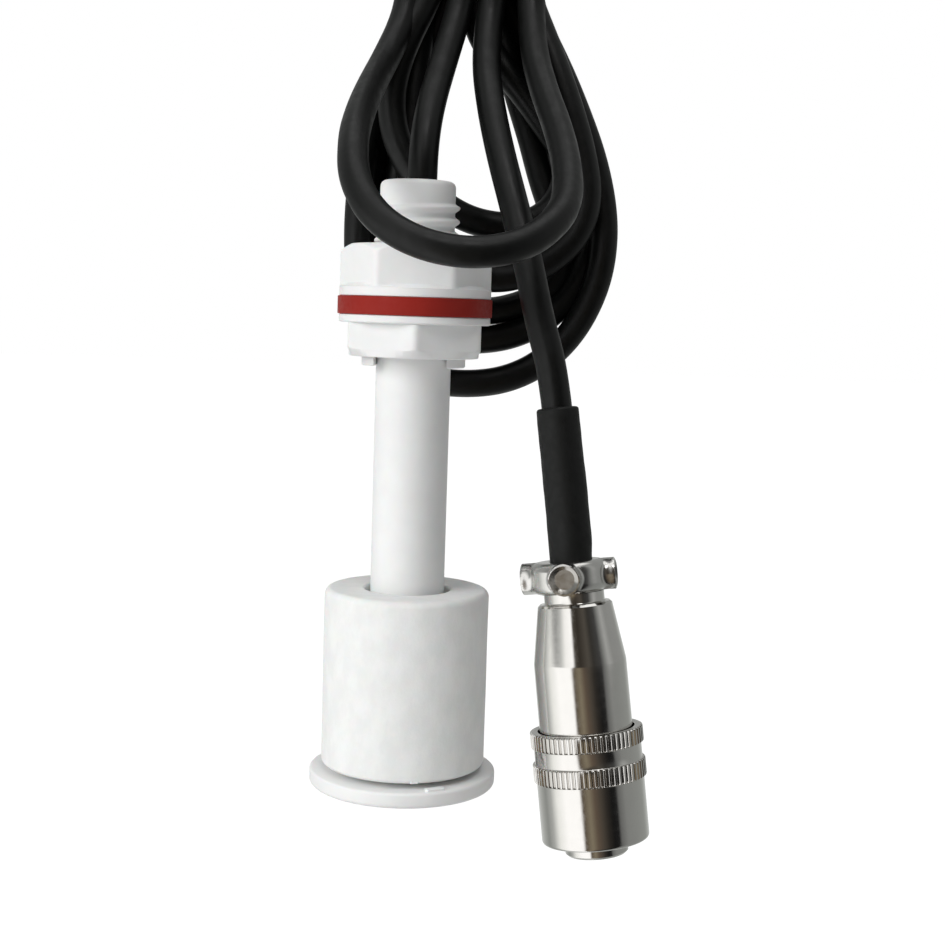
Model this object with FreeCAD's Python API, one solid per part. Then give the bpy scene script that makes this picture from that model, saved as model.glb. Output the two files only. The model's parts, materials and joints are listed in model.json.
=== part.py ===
import FreeCAD, Part
import math
import os

from FreeCAD import Placement, Rotation, Vector

# Float level switch on its cable, in millimetres. The stem axis is Z, and Z = 0 is the sealing
# face of the body's flange. The cable leaves the top of the threaded neck, hangs in a tied hank
# behind and before the neck, and ends in a round metal connector beside the float.

# Neck, flange and hexagon of the moulded body
NECK_D = 12.0
NECK_THREAD_TOP = 15.5
LEAD_IN_D = 10.3
LEAD_IN_LENGTH = 2.9
LEAD_IN_EDGE = 0.7
FLANGE_D = 21.0
FLANGE_T = 1.1
FLANGE_EDGE = 0.3
BODY_HEX_AF = 18.4
BODY_HEX_T = 4.6
BODY_HEX_TURN = 93.0
BODY_HEX_EDGE = 0.8
BODY_HEX_EDGE_IN = 1.3

# Lugs at both sides of the stem under the hexagon, against which the float stops
LUG_D = 14.4
LUG_H = 1.3
LUG_COUNT = 2
LUG_GAP = 10.0
LUG_TURN = 87.0

# Stem and its bore
STEM_D = 10.4
STEM_END = -64.0
BORE_D = 7.2
BORE_FLOOR_T = 2.0
SPIGOT_D = 6.0
SPIGOT_L = 1.4

# Bottom stop
STOP_D = 26.4
STOP_T = 2.2
STOP_EDGE = 0.6
STOP_BOSS_D = 13.0
STOP_BOSS_H = 0.8
STOP_NIB_W = 3.0
STOP_NIB_H = 0.5
STOP_NIB_OUT = 0.6
STOP_NIB_TURN = 293.0

# Float and its ring magnet
FLOAT_D = 23.2
FLOAT_L = 25.0
FLOAT_BORE_D = 12.0
FLOAT_EDGE = 0.7
MAGNET_OD = 19.0
MAGNET_ID = 14.4
MAGNET_L = 5.0
FLOAT_PLUG_L = 3.0

# Gasket and lock nut
GASKET_D = 21.4
GASKET_BORE_D = 12.2
GASKET_T = 2.5
NUT_H = 7.1
NUT_HEX_AF = 18.4
NUT_HEX_TURN = 1.5
NUT_COLLAR_D = 21.0
NUT_COLLAR_T = 1.2
NUT_COLLAR_CONE = 0.5
NUT_CHAMFER = 0.9
NUT_CHAMFER_IN = 1.5
NUT_CLEARANCE = 0.05

# Reed switch inside the stem
GLASS_D = 2.6
GLASS_L = 14.0
GLASS_WALL = 0.35
GLASS_SEAL = 1.75
GLASS_ROUND = 0.8
REED_MID = -31.0
REED_WIRE_D = 0.6
REED_WIRE_OUT = 4.0
BLADE_W = 1.4
BLADE_T = 0.2
BLADE_OVERLAP = 1.2
BLADE_GAP = 0.1
REED_SLEEVE_D = 3.4
REED_SLEEVE_L = 12.0
WIRE_D = 1.1
WIRE_OFFSET = 2.5

# Potting and cable
POTTING_TOP = 18.0
POTTING_DEPTH = 13.0
CABLE_D = 4.1
CABLE_END_DEPTH = 9.0
CABLE_SHIFT = 0.8

# Hank: a plane that leans back, with X across, W up the plane and V through its thickness
HANK_FOOT = Vector(0, 14.5, -11.0)
HANK_LEAN = 10.0
HANK_FACE_W = 62.0
FRONT_ROW_V = -7.2
TIE_W = 66.0
TIE_BAND = 3.6
TIE_T = 1.3
TIE_CORNER = 2.4
TIE_HEAD = (6.0, 4.0, 4.6)
WAIST_X = (-4.6, 17.4)
WAIST_V = (-9.3, 2.1)
WAIST_HALF = 2.5
WAIST_END = 4.0
TOP_FLARE = 3.1
TOP_FLARE_W = 85.0

# Connector: its own frame has Z up its axis and Z = 0 at the shoulder of the backshell
CONNECTOR_AT = Vector(22.8, -13.4, -37.0)
CONNECTOR_LEAN_SIDE = 7.04
CONNECTOR_LEAN_FRONT = 5.2
SHRINK_D = 5.64
SHRINK_TOP = 25.8
SHRINK_STEP = 0.4
CLAMP_LOW = 1.4
CLAMP_H = 4.2
CLAMP_RING_D = 10.4
CLAMP_RING_EDGE = 1.2
CLAMP_BOSS_D = 4.2
CLAMP_SPAN = 12.6
CLAMP_SHIFT = -0.45
CLAMP_TURN = -9.5
CLAMP_MOUTH_D = 3.3
CLAMP_MOUTH_DEPTH = 0.9
CLAMP_SCREW_D = 2.4
CLAMP_SCREW_RECESS = 1.1
CLAMP_SLOT = 0.5
CLAMP_BOSS_EDGE = 0.4
SHELL_NECK_D = 8.0
SHELL_TOP_D = 9.8
SHELL_JOIN_D = 12.0
SHELL_D = 12.35
SHELL_TAPER = 9.7
SHELL_SWELL = 0.72
SHELL_SWELL_AT = 4.1
SHELL_EDGE = 0.3
SHELL_L = 18.7
SHELL_WALL = 1.0
SHELL_STEP_D = 12.0
SHELL_STEP_UP = 1.2
RING_TOP = -16.7
RING_D = 14.25
KNURL_D = 15.0
KNURL_1 = 2.15
KNURL_GROOVE = 2.15
KNURL_2 = 2.35
KNURL_TEETH = 64
KNURL_DEPTH = 0.32
RING_L = 14.9
RING_GAP = 0.3
RING_SHOULDER_T = 1.4
RING_RUNNING = 0.06
RING_MOUTH_D = 12.5
RING_EDGE = 0.4
RING_END_PLAY = 0.1
INSERT_D = 10.4
INSERT_TOP = -14.0
INSERT_FLANGE_D = 11.8
INSERT_FLANGE_T = 1.2
INSERT_BARREL_D = 8.4
INSERT_BORE_D = 7.0
INSERT_OUT = 1.8
INSERT_EDGE = 0.3
KEYWAY_W = 1.6
KEYWAY_DEPTH = 0.4
INSULATOR_L = 7.0
INSULATOR_SET_BACK = 1.0
CONTACT_PITCH = 3.2
CONTACT_D = 1.7
CONTACT_HOLE_D = 1.0
CONTACT_HOLE_L = 5.0
CUP_L = 3.0
CORE_D = 1.2
CUP_DEPTH = 2.4
CORES_START = 2.5
CORES_SPREAD = 5.0
CORES_GAP = 0.2

# Worked out from the values above
HEX_LOW = -FLANGE_T - BODY_HEX_T
LUG_LOW = HEX_LOW - LUG_H
NECK_TOP = NECK_THREAD_TOP + LEAD_IN_LENGTH
FLOAT_REST = STEM_END + STOP_BOSS_H
NUT_LOW = GASKET_T
JACKET_END = -4.0


def rod(d, z0, z1, x=0.0, y=0.0):
    """A cylinder of diameter d from height z0 to z1."""
    return Part.makeCylinder(d / 2, z1 - z0, Vector(x, y, z0))


def tube(outer, inner, z0, z1):
    """A pipe of the two diameters from height z0 to z1."""
    return rod(outer, z0, z1).cut(rod(inner, z0, z1))


def turned(points):
    """The solid of revolution of an outline of (radius, height) points."""
    line = [Vector(r, 0, z) for r, z in points]
    face = Part.Face(Part.makePolygon(line + line[:1]))
    return face.revolve(Vector(0, 0, 0), Vector(0, 0, 1), 360)


def hexagon(across_flats, z0, z1, corner_turn):
    """A hexagonal prism, with one corner at corner_turn degrees from +X."""
    radius = across_flats / math.sqrt(3)
    corners = []
    for k in range(6):
        a = math.radians(corner_turn + 60 * k)
        corners.append(Vector(radius * math.cos(a), radius * math.sin(a), z0))
    face = Part.Face(Part.makePolygon(corners + corners[:1]))
    return face.extrude(Vector(0, 0, z1 - z0))


def rounded(shape, radius, wanted):
    """The shape with its edges rounded for which wanted(edge) is true."""
    return shape.makeFillet(radius, [e for e in shape.Edges if wanted(e)])


def ring_edge_at(z, d):
    """A test for the circular edge of diameter d at height z."""

    def wanted(edge):
        curve = edge.Curve
        if not isinstance(curve, Part.Circle):
            return False
        return abs(curve.Center.z - z) < 0.01 and abs(curve.Radius - d / 2) < 0.01

    return wanted


def cord(points, diameter):
    """A tube whose path is the runs between the points, with a tangent arc at each turn."""
    edges = []
    at = points[0]
    for before, corner, after in zip(points, points[1:], points[2:]):
        back = before - corner
        on = after - corner
        turn = math.pi - back.getAngle(on)
        run = back.Length
        cut = 0.45 * min(run, on.Length)
        start = corner + back.normalize() * cut
        end = corner + on.normalize() * cut
        radius = cut / math.tan(turn / 2)
        middle = (back + on).normalize()
        bulge = corner + middle * (radius / math.cos(turn / 2) - radius)
        edges.append(Part.LineSegment(at, start).toShape())
        edges.append(Part.Arc(start, bulge, end).toShape())
        print(f"  turn {math.degrees(turn):5.1f} deg, radius {radius:6.1f}, run {run:.1f}")
        at = end
    edges.append(Part.LineSegment(at, points[-1]).toShape())
    path = Part.Wire(edges)
    circle = Part.Circle(points[0], points[1] - points[0], diameter / 2)
    solid = path.makePipeShell([Part.Wire(circle.toShape())], True, False)
    even = solid.Volume / (math.pi * diameter**2 / 4 * path.Length)
    print(f"  length {path.Length:.1f}, volume over section times length {even:.4f}")
    return solid


# The switch


def switch_body():
    """The one moulding: threaded neck, flange, hexagon, lugs and closed stem."""
    r_in = BORE_D / 2
    edge = LEAD_IN_EDGE
    outline = [
        (r_in, NECK_TOP),
        (LEAD_IN_D / 2 - edge, NECK_TOP),
        (LEAD_IN_D / 2, NECK_TOP - edge),
        (LEAD_IN_D / 2, NECK_THREAD_TOP + (NECK_D - LEAD_IN_D) / 2),
        (NECK_D / 2, NECK_THREAD_TOP),
        (NECK_D / 2, 0),
        (FLANGE_D / 2, 0),
        (FLANGE_D / 2, FLANGE_EDGE - FLANGE_T),
        (FLANGE_D / 2 - FLANGE_EDGE, -FLANGE_T),
        (STEM_D / 2, -FLANGE_T),
        (STEM_D / 2, STEM_END),
        (SPIGOT_D / 2, STEM_END),
        (SPIGOT_D / 2, STEM_END - SPIGOT_L),
        (0, STEM_END - SPIGOT_L),
        (0, STEM_END + BORE_FLOOR_T),
        (r_in, STEM_END + BORE_FLOOR_T),
    ]
    corner = hexagon(BODY_HEX_AF, HEX_LOW, -FLANGE_T, BODY_HEX_TURN)
    reach = FLANGE_D / 2
    rounding = turned(
        [
            (0, -FLANGE_T),
            (reach, -FLANGE_T),
            (reach, HEX_LOW + BODY_HEX_EDGE),
            (reach - BODY_HEX_EDGE_IN, HEX_LOW),
            (0, HEX_LOW),
        ]
    )
    hexed = corner.common(rounding).cut(rod(BORE_D, HEX_LOW, -FLANGE_T))
    lugs = tube(LUG_D, STEM_D, LUG_LOW, HEX_LOW)
    for k in range(LUG_COUNT):
        gap = Part.makeBox(LUG_D, LUG_GAP, LUG_H, Vector(0, -LUG_GAP / 2, LUG_LOW))
        gap.rotate(Vector(0, 0, 0), Vector(0, 0, 1), LUG_TURN + 360 / LUG_COUNT * k)
        lugs = lugs.cut(gap)
    return turned(outline).fuse([hexed, lugs]).removeSplitter()


def stop_disc():
    """The bottom disc, on the stem's spigot, with a boss that the float rests on."""
    top = STEM_END
    low = top - STOP_T
    disc = rod(STOP_D, low, top)
    disc = rounded(disc, STOP_EDGE, ring_edge_at(low, STOP_D))
    disc = rounded(disc, STOP_EDGE / 2, ring_edge_at(top, STOP_D))
    boss = tube(STOP_BOSS_D, STEM_D, top, FLOAT_REST)
    nib = Part.makeBox(2 * STOP_NIB_OUT, STOP_NIB_W, 2 * STOP_NIB_H)
    nib.translate(Vector(STOP_D / 2 - STOP_EDGE - 2 * STOP_NIB_OUT, -STOP_NIB_W / 2, top - STOP_NIB_H))
    nib.rotate(Vector(0, 0, 0), Vector(0, 0, 1), STOP_NIB_TURN)
    disc = disc.fuse([boss, nib])
    return disc.cut(rod(SPIGOT_D, top - SPIGOT_L, top)).removeSplitter()


def float_body():
    """The moulded float, with the pocket for its magnet open at the bottom."""
    low = FLOAT_REST
    top = low + FLOAT_L
    body = tube(FLOAT_D, FLOAT_BORE_D, low, top)
    body = rounded(body, FLOAT_EDGE, ring_edge_at(top, FLOAT_D))
    body = rounded(body, FLOAT_EDGE, ring_edge_at(low, FLOAT_D))
    body = rounded(body, FLOAT_EDGE / 2, ring_edge_at(top, FLOAT_BORE_D))
    return body.cut(tube(MAGNET_OD, MAGNET_ID, low, low + FLOAT_PLUG_L + MAGNET_L))


def float_plug():
    """The ring that closes the magnet's pocket, flush with the float's bottom."""
    return tube(MAGNET_OD, MAGNET_ID, FLOAT_REST, FLOAT_REST + FLOAT_PLUG_L)


def float_magnet():
    """The ring magnet that works the reed switch through the stem's wall."""
    low = FLOAT_REST + FLOAT_PLUG_L
    return tube(MAGNET_OD, MAGNET_ID, low, low + MAGNET_L)


def gasket():
    """The flat rubber ring on the flange."""
    return tube(GASKET_D, GASKET_BORE_D, 0, GASKET_T)


def lock_nut():
    """The hexagonal nut with its collar, moulded in one."""
    low = NUT_LOW
    top = low + NUT_H
    reach = NUT_COLLAR_D / 2
    prism = hexagon(NUT_HEX_AF, low, top, NUT_HEX_TURN)
    crown = turned(
        [
            (0, low),
            (reach, low),
            (reach, top - NUT_CHAMFER),
            (reach - NUT_CHAMFER_IN, top),
            (0, top),
        ]
    )
    collar_top = low + NUT_COLLAR_T
    collar = turned(
        [
            (0, low),
            (NUT_COLLAR_D / 2, low),
            (NUT_COLLAR_D / 2, collar_top),
            (NUT_HEX_AF / 2, collar_top + NUT_COLLAR_CONE),
            (0, collar_top + NUT_COLLAR_CONE),
        ]
    )
    nut = prism.common(crown).fuse(collar).removeSplitter()
    return nut.cut(rod(NECK_D + 2 * NUT_CLEARANCE, low, top))


# The reed switch


def reed_glass():
    """The sealed glass capsule, hollow, with a hole at each end for a reed."""
    half = GLASS_L / 2
    inner = half - GLASS_SEAL
    outer = rod(GLASS_D, REED_MID - half, REED_MID + half)
    outer = rounded(outer, GLASS_ROUND, ring_edge_at(REED_MID + half, GLASS_D))
    outer = rounded(outer, GLASS_ROUND, ring_edge_at(REED_MID - half, GLASS_D))
    hollow = rod(GLASS_D - 2 * GLASS_WALL, REED_MID - inner, REED_MID + inner)
    holes = rod(REED_WIRE_D, REED_MID - half, REED_MID + half)
    return outer.cut(hollow.fuse(holes))


def reed(side):
    """One reed: a round wire through the glass end, rolled flat inside. side is 1 or -1."""
    half = GLASS_L / 2
    inner = half - GLASS_SEAL
    wire = rod(REED_WIRE_D, inner, half + REED_WIRE_OUT)
    tip = -BLADE_OVERLAP / 2
    blade = Part.makeBox(BLADE_W, BLADE_T, inner - tip, Vector(-BLADE_W / 2, BLADE_GAP / 2, tip))
    whole = wire.fuse(blade).removeSplitter()
    if side < 0:
        whole.rotate(Vector(0, 0, 0), Vector(1, 0, 0), 180)
    whole.translate(Vector(0, 0, REED_MID))
    return whole


def reed_sleeve():
    """The soft sleeve shrunk round the glass."""
    half = REED_SLEEVE_L / 2
    return tube(REED_SLEEVE_D, GLASS_D, REED_MID - half, REED_MID + half)


def wire_feed():
    """The height at which the cable's two cores leave its jacket inside the potting."""
    return POTTING_TOP - CABLE_END_DEPTH


def lead_wire_upper():
    """The core that runs straight down to the upper reed."""
    return rod(WIRE_D, REED_MID + GLASS_L / 2 + REED_WIRE_OUT, wire_feed())


def lead_wire_lower():
    """The core that runs past the glass and turns up to the lower reed."""
    foot = REED_MID - GLASS_L / 2 - REED_WIRE_OUT
    x = WIRE_OFFSET
    start = Vector(x, 0, wire_feed())
    down = Vector(x, 0, foot)
    bend = Part.Arc(down, Vector(x / 2, 0, foot - x / 2), Vector(0, 0, foot))
    path = Part.Wire([Part.LineSegment(start, down).toShape(), bend.toShape()])
    circle = Part.Circle(start, Vector(0, 0, 1), WIRE_D / 2)
    return path.makePipeShell([Part.Wire(circle.toShape())], True, False)


def potting(inside):
    """The resin in the top of the neck, round the cable's end and its cores."""
    plug = rod(BORE_D, POTTING_TOP - POTTING_DEPTH, POTTING_TOP)
    return plug.cut(inside)


# The cable


def on_hank(x, v, w):
    """A point given across, through and up the hank's leaning plane."""
    a = math.radians(HANK_LEAN)
    n = Vector(0, math.cos(a), -math.sin(a))
    up = Vector(0, math.sin(a), math.cos(a))
    return HANK_FOOT + Vector(x, 0, 0) + n * v + up * w


def to_hank(shape):
    """Moves a shape drawn as (x, v, w) on to the hank's leaning plane."""
    shape.rotate(Vector(0, 0, 0), Vector(1, 0, 0), -HANK_LEAN)
    shape.translate(HANK_FOOT)
    return shape


def smooth_plate(points, v0, v1):
    """A plate with a smooth closed outline of (x, w) points, from depth v0 to v1."""
    curve = Part.BSplineCurve()
    curve.interpolate([Vector(x, v0, w) for x, w in points], PeriodicFlag=True)
    face = Part.Face(Part.Wire(curve.toShape()))
    return face.extrude(Vector(0, v1 - v0, 0))


HANK_OUTLINE = [
    (11.0, -2.3),
    (22.4, 3.6),
    (28.5, 16.0),
    (29.4, 26.5),
    (27.6, 36.4),
    (21.8, 50.8),
    (WAIST_X[1], TIE_W - WAIST_HALF),
    (WAIST_X[1], TIE_W + WAIST_HALF),
    (24.0, 87.0),
    (25.2, 97.0),
    (19.5, 109.5),
    (6.4, 115.0),
    (-6.7, 109.5),
    (-12.4, 97.0),
    (-11.2, 87.0),
    (WAIST_X[0], TIE_W + WAIST_HALF),
    (WAIST_X[0], TIE_W - WAIST_HALF),
    (-8.0, 50.0),
    (-10.2, 34.0),
    (-11.8, 22.9),
    (-9.0, 8.6),
    (-1.0, 0.2),
]
HANK_LOWER_EYE = [
    (6.3, 49.0),
    (2.9, 42.5),
    (1.6, 34.4),
    (4.9, 30.4),
    (11.6, 28.7),
    (16.6, 30.8),
    (16.6, 36.8),
    (13.4, 44.4),
    (9.6, 49.0),
]
HANK_UPPER_EYE = [
    (6.4, 76.0),
    (0.8, 84.0),
    (-3.2, 95.0),
    (-0.6, 101.5),
    (6.4, 104.6),
    (13.4, 101.5),
    (16.0, 95.0),
    (12.0, 84.0),
]


def hank_side():
    """The hank seen from its side, as (v, w): one layer at the foot, a tied waist, a full top."""
    front, back = WAIST_V
    single = CABLE_D / 2 + 0.05
    middle = FRONT_ROW_V + 0.9
    return [
        (-single, -4.0),
        (single, -4.0),
        (back, TIE_W + WAIST_END),
        (back + TOP_FLARE, TOP_FLARE_W),
        (back + TOP_FLARE, 118.0),
        (front - TOP_FLARE, 118.0),
        (front - TOP_FLARE, TOP_FLARE_W),
        (front, TIE_W + WAIST_END),
        (front, HANK_FACE_W),
        (middle, HANK_FACE_W),
        (middle, 24.0),
        (-single, 12.0),
    ]


def cable_hank(strands):
    """The outer shape of the tied hank, with an eye at each end and grooves for loose strands."""
    deep = 20.0
    plate = smooth_plate(HANK_OUTLINE, -deep, deep)
    for eye in (HANK_LOWER_EYE, HANK_UPPER_EYE):
        plate = plate.cut(smooth_plate(eye, -deep, deep))
    side = [Vector(-40, v, w) for v, w in hank_side()]
    profile = Part.Face(Part.makePolygon(side + side[:1]))
    return to_hank(plate.common(profile.extrude(Vector(90, 0, 0)))).cut(strands)


def cable_tie(hank):
    """The strap round the hank's waist, with its head behind."""
    x0, x1 = WAIST_X
    v0, v1 = WAIST_V
    t = TIE_T
    low = TIE_W - TIE_BAND / 2
    strap = Part.makeBox(x1 - x0 + 2 * t, v1 - v0 + 2 * t, TIE_BAND, Vector(x0 - t, v0 - t, low))
    strap = rounded(strap, TIE_CORNER, lambda e: abs(e.tangentAt(e.FirstParameter).z) > 0.99)
    across, deep, tall = TIE_HEAD
    head = Part.makeBox(across, deep, tall, Vector((x0 + x1 - across) / 2, v1 + t / 2, TIE_W - tall / 2))
    return to_hank(strap.fuse(head)).cut(hank)


def row_end(x):
    """Where a cable of the front row meets the hank's lower face."""
    return on_hank(x, FRONT_ROW_V, HANK_FACE_W)


def row_run(x, length):
    """A point straight down the hank's plane from a row end."""
    return on_hank(x, FRONT_ROW_V, HANK_FACE_W - length)


LEAD_X = 4.4
LEAD_ROUTE = [
    Vector(CABLE_SHIFT, 0.0, POTTING_TOP - CABLE_END_DEPTH),
    Vector(CABLE_SHIFT, 0.0, 21.5),
    Vector(1.3, 4.8, 29.2),
    Vector(2.7, 11.4, 36.2),
    row_run(LEAD_X, 8.0),
    row_end(LEAD_X),
]
LOOP_X = (-3.4, 15.2)
LOOP_ROUTE = [
    row_end(LOOP_X[0]),
    row_run(LOOP_X[0], 8.0),
    Vector(-5.8, 11.9, 36.7),
    Vector(-7.3, 4.5, 31.8),
    Vector(-8.1, -3.4, 27.4),
    Vector(-8.6, -11.0, 22.7),
    Vector(-8.0, -16.5, 17.1),
    Vector(-4.6, -20.1, 12.4),
    Vector(1.1, -22.4, 9.3),
    Vector(7.8, -22.7, 8.3),
    Vector(14.2, -20.6, 9.5),
    Vector(18.9, -16.6, 12.4),
    Vector(20.9, -11.1, 15.9),
    Vector(19.8, -4.7, 20.8),
    Vector(18.9, 1.5, 26.3),
    Vector(17.4, 7.3, 32.0),
    Vector(15.9, 12.7, 38.1),
    row_run(LOOP_X[1], 6.5),
    row_end(LOOP_X[1]),
]
TAIL_X = 9.0


def on_connector(z, x=0.0, y=0.0):
    """A point given in the connector's own frame."""
    return connector_place().multVec(Vector(x, y, z))


def connector_place():
    """Where the connector's frame lies on the part."""
    side = math.tan(math.radians(CONNECTOR_LEAN_SIDE))
    front = math.tan(math.radians(CONNECTOR_LEAN_FRONT))
    return Placement(CONNECTOR_AT, Rotation(Vector(0, 0, 1), Vector(-side, front, 1)))


TAIL_ROUTE = [
    row_end(TAIL_X),
    row_run(TAIL_X, 8.0),
    Vector(8.7, 11.8, 36.2),
    Vector(9.6, 6.2, 29.6),
    Vector(11.2, 1.4, 22.4),
    Vector(13.3, -2.6, 15.0),
    Vector(15.3, -6.0, 7.6),
    Vector(16.9, -8.4, 0.2),
    on_connector(SHRINK_TOP + 4.2),
    on_connector(JACKET_END),
]


# The connector


def shrink_sleeve():
    """The shrink tube over the last of the cable, gripped by the clamp."""
    top = SHRINK_TOP
    outer = turned(
        [
            (0, CLAMP_LOW),
            (SHRINK_D / 2, CLAMP_LOW),
            (SHRINK_D / 2, top - SHRINK_STEP),
            (SHRINK_D / 2 - SHRINK_STEP, top),
            (0, top),
        ]
    )
    return outer.cut(rod(CABLE_D, CLAMP_LOW, top))


def boss_turns():
    """The four directions of the clamp's bosses, in degrees from +X."""
    return [CLAMP_TURN + 90 * k for k in range(4)]


def outward(shape, turn):
    """Turns a shape drawn along +Z from the axis so that it points outwards at mid-clamp."""
    shape.rotate(Vector(0, 0, 0), Vector(0, 1, 0), 90)
    shape.rotate(Vector(0, 0, 0), Vector(0, 0, 1), turn)
    shape.translate(Vector(CLAMP_SHIFT, 0, CLAMP_LOW + CLAMP_H / 2))
    return shape


def cable_clamp():
    """The thick ring round the sleeve, set a little to one side, with four bosses for its screws."""
    high = CLAMP_LOW + CLAMP_H
    ring = rod(CLAMP_RING_D, CLAMP_LOW, high)
    ring = rounded(ring, CLAMP_RING_EDGE, ring_edge_at(high, CLAMP_RING_D))
    ring = rounded(ring, CLAMP_RING_EDGE, ring_edge_at(CLAMP_LOW, CLAMP_RING_D))
    ring.translate(Vector(CLAMP_SHIFT, 0, 0))
    reach = CLAMP_SPAN / 2
    for turn in boss_turns():
        boss = rod(CLAMP_BOSS_D, 0, reach)
        boss = rounded(boss, CLAMP_BOSS_EDGE, ring_edge_at(reach, CLAMP_BOSS_D))
        ring = ring.fuse(outward(boss, turn))
    ring = ring.removeSplitter().cut(rod(SHRINK_D, CLAMP_LOW, high))
    for turn in boss_turns():
        ring = ring.cut(outward(rod(CLAMP_SCREW_D, 0, reach), turn))
        ring = ring.cut(outward(rod(CLAMP_MOUTH_D, reach - CLAMP_MOUTH_DEPTH, reach), turn))
    return ring


def clamp_screws():
    """Four slotted grub screws that bear on the sleeve."""
    top = CLAMP_SPAN / 2 - CLAMP_SCREW_RECESS
    sleeve = rod(SHRINK_D, CLAMP_LOW, CLAMP_LOW + CLAMP_H)
    screws = []
    for turn in boss_turns():
        screw = rod(CLAMP_SCREW_D, SHRINK_D / 2 + CLAMP_SHIFT, top)
        corner = Vector(-CLAMP_SCREW_D / 2, -CLAMP_SLOT / 2, top - CLAMP_SLOT)
        slot = Part.makeBox(CLAMP_SCREW_D, CLAMP_SLOT, CLAMP_SLOT, corner)
        screws.append(outward(screw.cut(slot), turn).cut(sleeve))
    return Part.makeCompound(screws)


def broken_line(points):
    """The straight edges through (radius, height) points."""
    return Part.makePolygon([Vector(r, 0, z) for r, z in points]).Edges


def backshell():
    """The turned shell: neck, swelling shoulder and barrel, hollow inside."""
    top_r = SHELL_TOP_D / 2
    join_r = SHELL_JOIN_D / 2
    r = SHELL_D / 2
    step_r = SHELL_STEP_D / 2
    low = -SHELL_L
    step = RING_TOP - SHELL_STEP_UP
    bulge = Vector(top_r + (join_r - top_r) * SHELL_SWELL, 0, -SHELL_SWELL_AT)
    swell = Part.Arc(Vector(top_r, 0, -SHELL_EDGE), bulge, Vector(join_r, 0, -SHELL_TAPER))
    above = [
        (0, CLAMP_LOW),
        (SHELL_NECK_D / 2, CLAMP_LOW),
        (SHELL_NECK_D / 2, 0),
        (top_r - SHELL_EDGE, 0),
        (top_r, -SHELL_EDGE),
    ]
    below = [
        (join_r, -SHELL_TAPER),
        (r, step + r - step_r),
        (step_r, step),
        (step_r, low),
        (0, low),
        (0, CLAMP_LOW),
    ]
    wire = Part.Wire(broken_line(above) + [swell.toShape()] + broken_line(below))
    solid = Part.Face(wire).revolve(Vector(0, 0, 0), Vector(0, 0, 1), 360)
    bore = turned(
        [
            (0, CLAMP_LOW),
            (CABLE_D / 2, CLAMP_LOW),
            (CABLE_D / 2, JACKET_END + SHELL_WALL),
            (top_r - SHELL_WALL, -SHELL_TAPER),
            (top_r - SHELL_WALL, INSERT_TOP),
            (INSERT_D / 2, INSERT_TOP),
            (INSERT_D / 2, low),
            (0, low),
        ]
    )
    return solid.cut(bore)


def knurled(z1, height):
    """A band of straight teeth, as one closed outline drawn up."""
    points = []
    step = 2 * math.pi / KNURL_TEETH
    tip = KNURL_D / 2
    root = tip - KNURL_DEPTH
    for k in range(KNURL_TEETH):
        for share, r in ((-0.38, root), (-0.2, tip), (0.2, tip), (0.38, root)):
            a = step * (k + share)
            points.append(Vector(r * math.cos(a), r * math.sin(a), z1 - height))
    face = Part.Face(Part.makePolygon(points + points[:1]))
    return face.extrude(Vector(0, 0, height))


def coupling_ring():
    """The knurled ring that turns on the connector and draws it on to its mate."""
    top = RING_TOP
    low = top - RING_L
    groove_top = top - KNURL_1
    second = groove_top - KNURL_GROOVE
    outer = rod(RING_D, low, top)
    outer = rounded(outer, RING_EDGE, ring_edge_at(low, RING_D))
    outer = outer.fuse([knurled(top, KNURL_1), knurled(second, KNURL_2)])
    shoulder_top = -SHELL_L - RING_GAP
    shoulder_low = shoulder_top - RING_SHOULDER_T
    bore = turned(
        [
            (0, top),
            (SHELL_D / 2 + RING_GAP, top),
            (SHELL_D / 2 + RING_GAP, shoulder_top),
            (INSERT_D / 2 + RING_RUNNING, shoulder_top),
            (INSERT_D / 2 + RING_RUNNING, shoulder_low),
            (RING_MOUTH_D / 2, shoulder_low),
            (RING_MOUTH_D / 2, low),
            (0, low),
        ]
    )
    return outer.removeSplitter().cut(bore)


def insert_flange_top():
    """The height of the insert's flange, just under the coupling ring's shoulder."""
    return -SHELL_L - RING_GAP - RING_SHOULDER_T - RING_END_PLAY


def insert_end():
    """The height of the insert barrel's mouth, which stands out of the coupling ring."""
    return RING_TOP - RING_L - INSERT_OUT


def insert_shell():
    """The metal barrel that holds the contacts, fixed in the backshell, with its keyway."""
    flange = insert_flange_top()
    low = insert_end()
    outer = turned(
        [
            (INSERT_BORE_D / 2, INSERT_TOP),
            (INSERT_D / 2, INSERT_TOP),
            (INSERT_D / 2, flange),
            (INSERT_FLANGE_D / 2, flange),
            (INSERT_FLANGE_D / 2, flange - INSERT_FLANGE_T),
            (INSERT_BARREL_D / 2, flange - INSERT_FLANGE_T),
            (INSERT_BARREL_D / 2, low + INSERT_EDGE),
            (INSERT_BARREL_D / 2 - INSERT_EDGE, low),
            (INSERT_BORE_D / 2, low),
        ]
    )
    length = flange - INSERT_FLANGE_T - low
    r = INSERT_BARREL_D / 2
    key = Part.makeBox(KEYWAY_DEPTH * 2, KEYWAY_W, length, Vector(r - KEYWAY_DEPTH, -KEYWAY_W / 2, low))
    return outer.cut(key)


def contact_places():
    """The x and y of the two contacts."""
    return [(-CONTACT_PITCH / 2, 0), (CONTACT_PITCH / 2, 0)]


def insulator():
    """The moulded disc that holds the contacts in the insert."""
    low = insert_end() + INSULATOR_SET_BACK
    disc = rod(INSERT_BORE_D, low, low + INSULATOR_L)
    for x, y in contact_places():
        disc = disc.cut(rod(CONTACT_D, low, low + INSULATOR_L, x, y))
    return disc


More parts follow.
